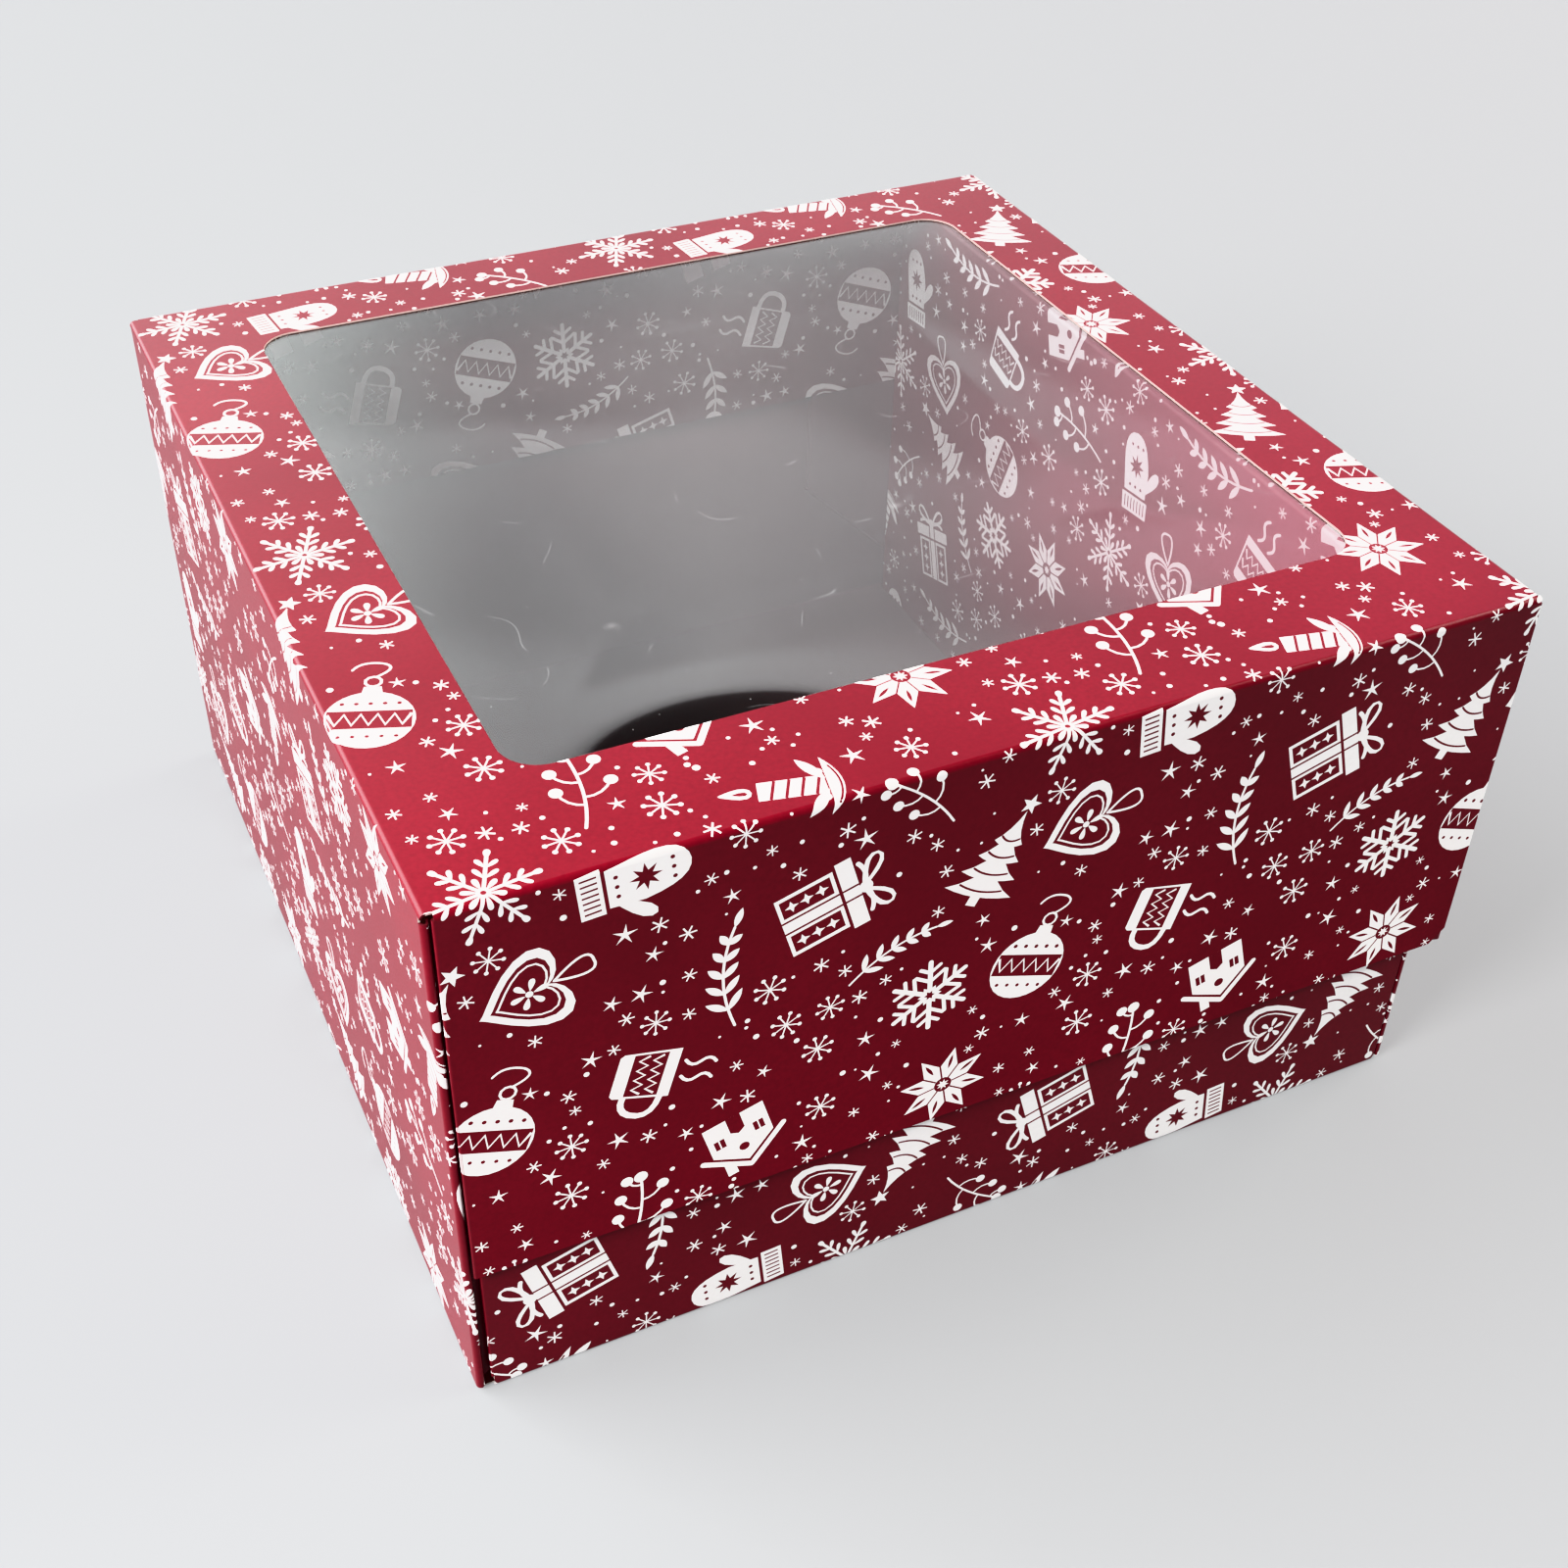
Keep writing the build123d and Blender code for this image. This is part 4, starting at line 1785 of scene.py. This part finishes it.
@dataclass
class HingeCrease:
    """The crease that the lid turns on: board folded round a square crease."""

    sizes: Sizes
    press: Press
    steps: int = 16
    sharp_angle: float = 40.0

    def build(self) -> None:
        """Make the crease and its print, between tray and lid."""
        s = self.sizes
        edge_x, square = s.hinge_x + s.crease, (bent(s.crease, 90),)
        tray_end, lid_end = Vector((s.hinge_x, 0, s.below_crease)), Vector((edge_x, 0, s.top_z))
        strip = Strip(
            "hinge_crease", lid_end, -X, Z, (edge_x, 0), -EAST, square, -s.tray_y, s.tray_y
        )
        board = self._board(strip)
        ink = self.press.print_strip(strip)
        for piece in (board, ink):
            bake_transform(piece)
        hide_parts("hinge_crease")
        LOG.info("hinge crease: %d faces", len(board.data.polygons))

    def _board(self, strip: Strip) -> bpy.types.Object:
        """The crease's board, extruded step by step round the fold.

        Args:
            strip: the crease's printed side.

        Returns:
            The board's object.
        """
        mesh = bmesh.new()
        edge = mesh.edges.new([mesh.verts.new((0, across, 0)) for across in (strip.low, strip.high)])
        step = strip.length / self.steps
        for _ in range(self.steps):
            grown = bmesh.ops.extrude_edge_only(mesh, edges=[edge])["geom"]
            edge = far_edge(grown, list(edge.verts))
            bmesh.ops.translate(mesh, vec=(step, 0, 0), verts=list(edge.verts))
        inner = bmesh.ops.duplicate(mesh, geom=list(mesh.faces))["geom"]
        below = [item for item in inner if isinstance(item, bmesh.types.BMVert)]
        bmesh.ops.translate(mesh, vec=(0, 0, -self.sizes.board), verts=below)
        bmesh.ops.bridge_loops(mesh, edges=[edge for edge in mesh.edges if edge.is_boundary])
        for vert in mesh.verts:
            vert.co = strip.fold(vert.co)
        bmesh.ops.recalc_face_normals(mesh, faces=mesh.faces)
        # Its cut ends take the dark edge: painted shade in the fold
        finish = PrintedBoard((-X, Z), DARK_EDGE_IN_PAINTED_SHADE)
        material = make_material("hinge crease board", finish.shader)
        board = make_piece("hinge_crease_board", mesh, [material])
        board.data.shade_smooth()
        board.data.set_sharp_from_angle(angle=math.radians(self.sharp_angle))
        return board


# The studio


@dataclass(frozen=True)
class LightBand:
    """A soft patch of bright wall or window in the room round the table.

    It is centred on an azimuth, counted from +Y towards +X, fades out over soft degrees at
    its sides, and fills the room's height from low to high degrees above the table.
    """

    azimuth: float
    half_width: float
    soft: float
    low: float
    high: float
    edge: float
    strength: float
    colour: str

    def glow(self, tree: Tree, look: Node) -> Node:
        """Work out the band's brightness from the way one looks.

        Args:
            tree: the world's node tree.
            look: the node that gives the direction.

        Returns:
            The node that gives its strength there.
        """
        turn = math.radians(self.azimuth)
        height = add_node(tree, "SeparateXYZ", {0: look}).outputs["Z"]
        rise = add_node(tree, "Math", {0: height}, operation="ARCSINE")
        flat = add_node(tree, "VectorMath", {0: look, 1: (1, 1, 0)}, operation="MULTIPLY")
        level = add_node(tree, "VectorMath", {0: flat}, operation="NORMALIZE")
        centre = (math.sin(turn), math.cos(turn), 0)
        facing = add_node(tree, "VectorMath", {0: level, 1: centre}, operation="DOT_PRODUCT")
        aside = add_node(tree, "Math", {0: facing}, operation="ARCCOSINE")
        angles = (self.half_width, self.soft, self.edge, self.low, self.high)
        half, soft, edge, low, high = map(math.radians, angles)
        fades = (
            (aside, half + soft / 2, half - soft / 2),
            (rise, high + edge / 2, high - edge / 2),
            (rise, low - edge / 2, low + edge / 2),
        )
        strength = self.strength
        for value, none, full in fades:
            ends = {"Value": value, "From Min": none, "From Max": full}
            fade = add_node(tree, "MapRange", ends, interpolation_type="SMOOTHSTEP")
            strength = add_node(tree, "Math", {0: fade, 1: strength}, operation="MULTIPLY")
        return strength


@dataclass(frozen=True)
class SoftLamp:
    """A square soft box on a stand, near enough for its light to fall off over the box.

    It lights the hinge wall and the near corner of the top from the left.
    """

    place: tuple[float, float, float] = (-0.71, -0.31, 0.60)
    aim: tuple[float, float, float] = (0.0, 0.0, 0.08)
    size: float = 0.34
    power: float = 16.5
    colour: str = "#FFFCFB"

    def hang(self) -> None:
        """Put the lamp in the scene."""
        light = bpy.data.lights.new("soft side lamp", "AREA")
        light.shape, light.size, light.energy = "SQUARE", self.size, self.power
        light.color = linear(self.colour)[:3]
        lamp = bpy.data.objects.new("soft side lamp", light)
        lamp.location = self.place
        way = Vector(self.aim) - Vector(self.place)
        lamp.rotation_euler = way.to_track_quat("-Z", "Y").to_euler()
        bpy.context.scene.collection.objects.link(lamp)


@dataclass
class Studio:
    """A pale table in a softly lit white room, and the camera.

    The camera's angles, in degrees, its distance and its shifts from the box's foot are
    those that fit the box's corners to the photograph.
    """

    azimuth: float = -26.12
    elevation: float = 38.83
    roll: float = 1.41
    distance: float = 579.9 * MM
    shift_right: float = 5.03 * MM
    shift_up: float = 29.3 * MM
    lens: float = 46.94
    sensor: float = 36.0
    table_size: float = 40.0
    room: str = "#EEF0F4"
    room_strength: float = 0.16
    bands: tuple[LightBand, ...] = (
        LightBand(0, 42, 40, -5, 39.5, 0.5, 1.36, "#EFEEF0"),
        LightBand(24, 3, 10, 18, 39, 6.0, 0.4, "#F3EEEE"),
        LightBand(10, 55, 30, -5, 23.5, 3.0, 0.8, "#ECF0EE"),
        LightBand(0, 42, 40, 28.5, 38.9, 1.2, 0.5, "#EFEEF0"),
        LightBand(25, 50, 30, 34.5, 38.7, 2.0, 0.5, "#EEF0F0"),
        LightBand(-50, 32, 20, 5, 58, 10.0, 9.0, "#FAFCFF"),
        LightBand(92, 22, 16, 5, 50, 10.0, 10.5, "#FFFAF2"),
        LightBand(53, 16, 20, 20, 34, 6.0, 2.3, "#FF9DB4"),
        LightBand(3, 8, 14, 20, 39, 6.0, 2.4, "#E6F0EC"),
        LightBand(0, 200, 10, -20, 8, 6.0, 0.5, "#F0F2F4"),
    )
    lamp: SoftLamp = field(default_factory=SoftLamp)
    exposure: float = 0.25
    gamma: float = 0.8

    def build(self) -> None:
        """Set up the table, the light and the camera."""
        mesh = bmesh.new()
        bmesh.ops.create_grid(mesh, x_segments=1, y_segments=1, size=self.table_size / 2)
        make_piece("table", mesh, [make_material("pale matt table", PaleTable().shader)])
        self._world()
        self.lamp.hang()
        self._camera()
        view = bpy.context.scene.view_settings
        view.view_transform = "Khronos PBR Neutral"
        view.exposure, view.gamma = self.exposure, self.gamma

    def _world(self) -> None:
        """Light the room: a faint even glow, and the bands over it."""
        world = bpy.data.worlds.new("soft room")
        world.use_nodes = True
        tree = world.node_tree
        tree.nodes.clear()
        place = add_node(tree, "TexCoord").outputs["Generated"]
        look = add_node(tree, "VectorMath", {0: place}, operation="NORMALIZE")
        faint = {"Color": linear(self.room), "Strength": self.room_strength}
        light = add_node(tree, "Background", faint)
        for band in self.bands:
            bright = {"Color": linear(band.colour), "Strength": band.glow(tree, look)}
            light = add_node(tree, "AddShader", {0: light, 1: add_node(tree, "Background", bright)})
        add_node(tree, "OutputWorld", {"Surface": light})
        bpy.context.scene.world = world

    def _camera(self) -> None:
        """Place the camera where the photograph was taken from."""
        turn, tilt, lean = map(math.radians, (self.azimuth, self.elevation, self.roll))
        level = math.cos(tilt)
        back = Vector((math.sin(turn) * level, -math.cos(turn) * level, math.sin(tilt)))
        right = Vector((math.cos(turn), math.sin(turn), 0))
        up = back.cross(right)
        data = bpy.data.cameras.new("portrait camera")
        data.lens, data.sensor_width = self.lens, self.sensor
        camera = bpy.data.objects.new("portrait camera", data)
        camera_x = right * math.cos(lean) + up * math.sin(lean)
        camera_y = up * math.cos(lean) - right * math.sin(lean)
        spin = Matrix((camera_x, camera_y, back)).transposed().to_4x4()
        place = back * self.distance + right * self.shift_right + up * self.shift_up
        camera.matrix_world = Matrix.Translation(place) @ spin
        bpy.context.scene.collection.objects.link(camera)
        bpy.context.scene.camera = camera


def main() -> None:
    """Build the dressed box and its studio."""
    logging.basicConfig(level=logging.INFO, format="%(name)s: %(message)s")
    for left_over in list(bpy.data.objects):
        bpy.data.objects.remove(left_over)
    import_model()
    sizes = Sizes.from_frame()
    repeat = Repeat()
    press = Press(repeat.strew(), repeat.side, ink_pair("flat panels"))
    Lid(sizes, press).build()
    Tray(sizes, press).build()
    HingeCrease(sizes, press).build()
    Studio().build()


if __name__ == "__main__":
    main()
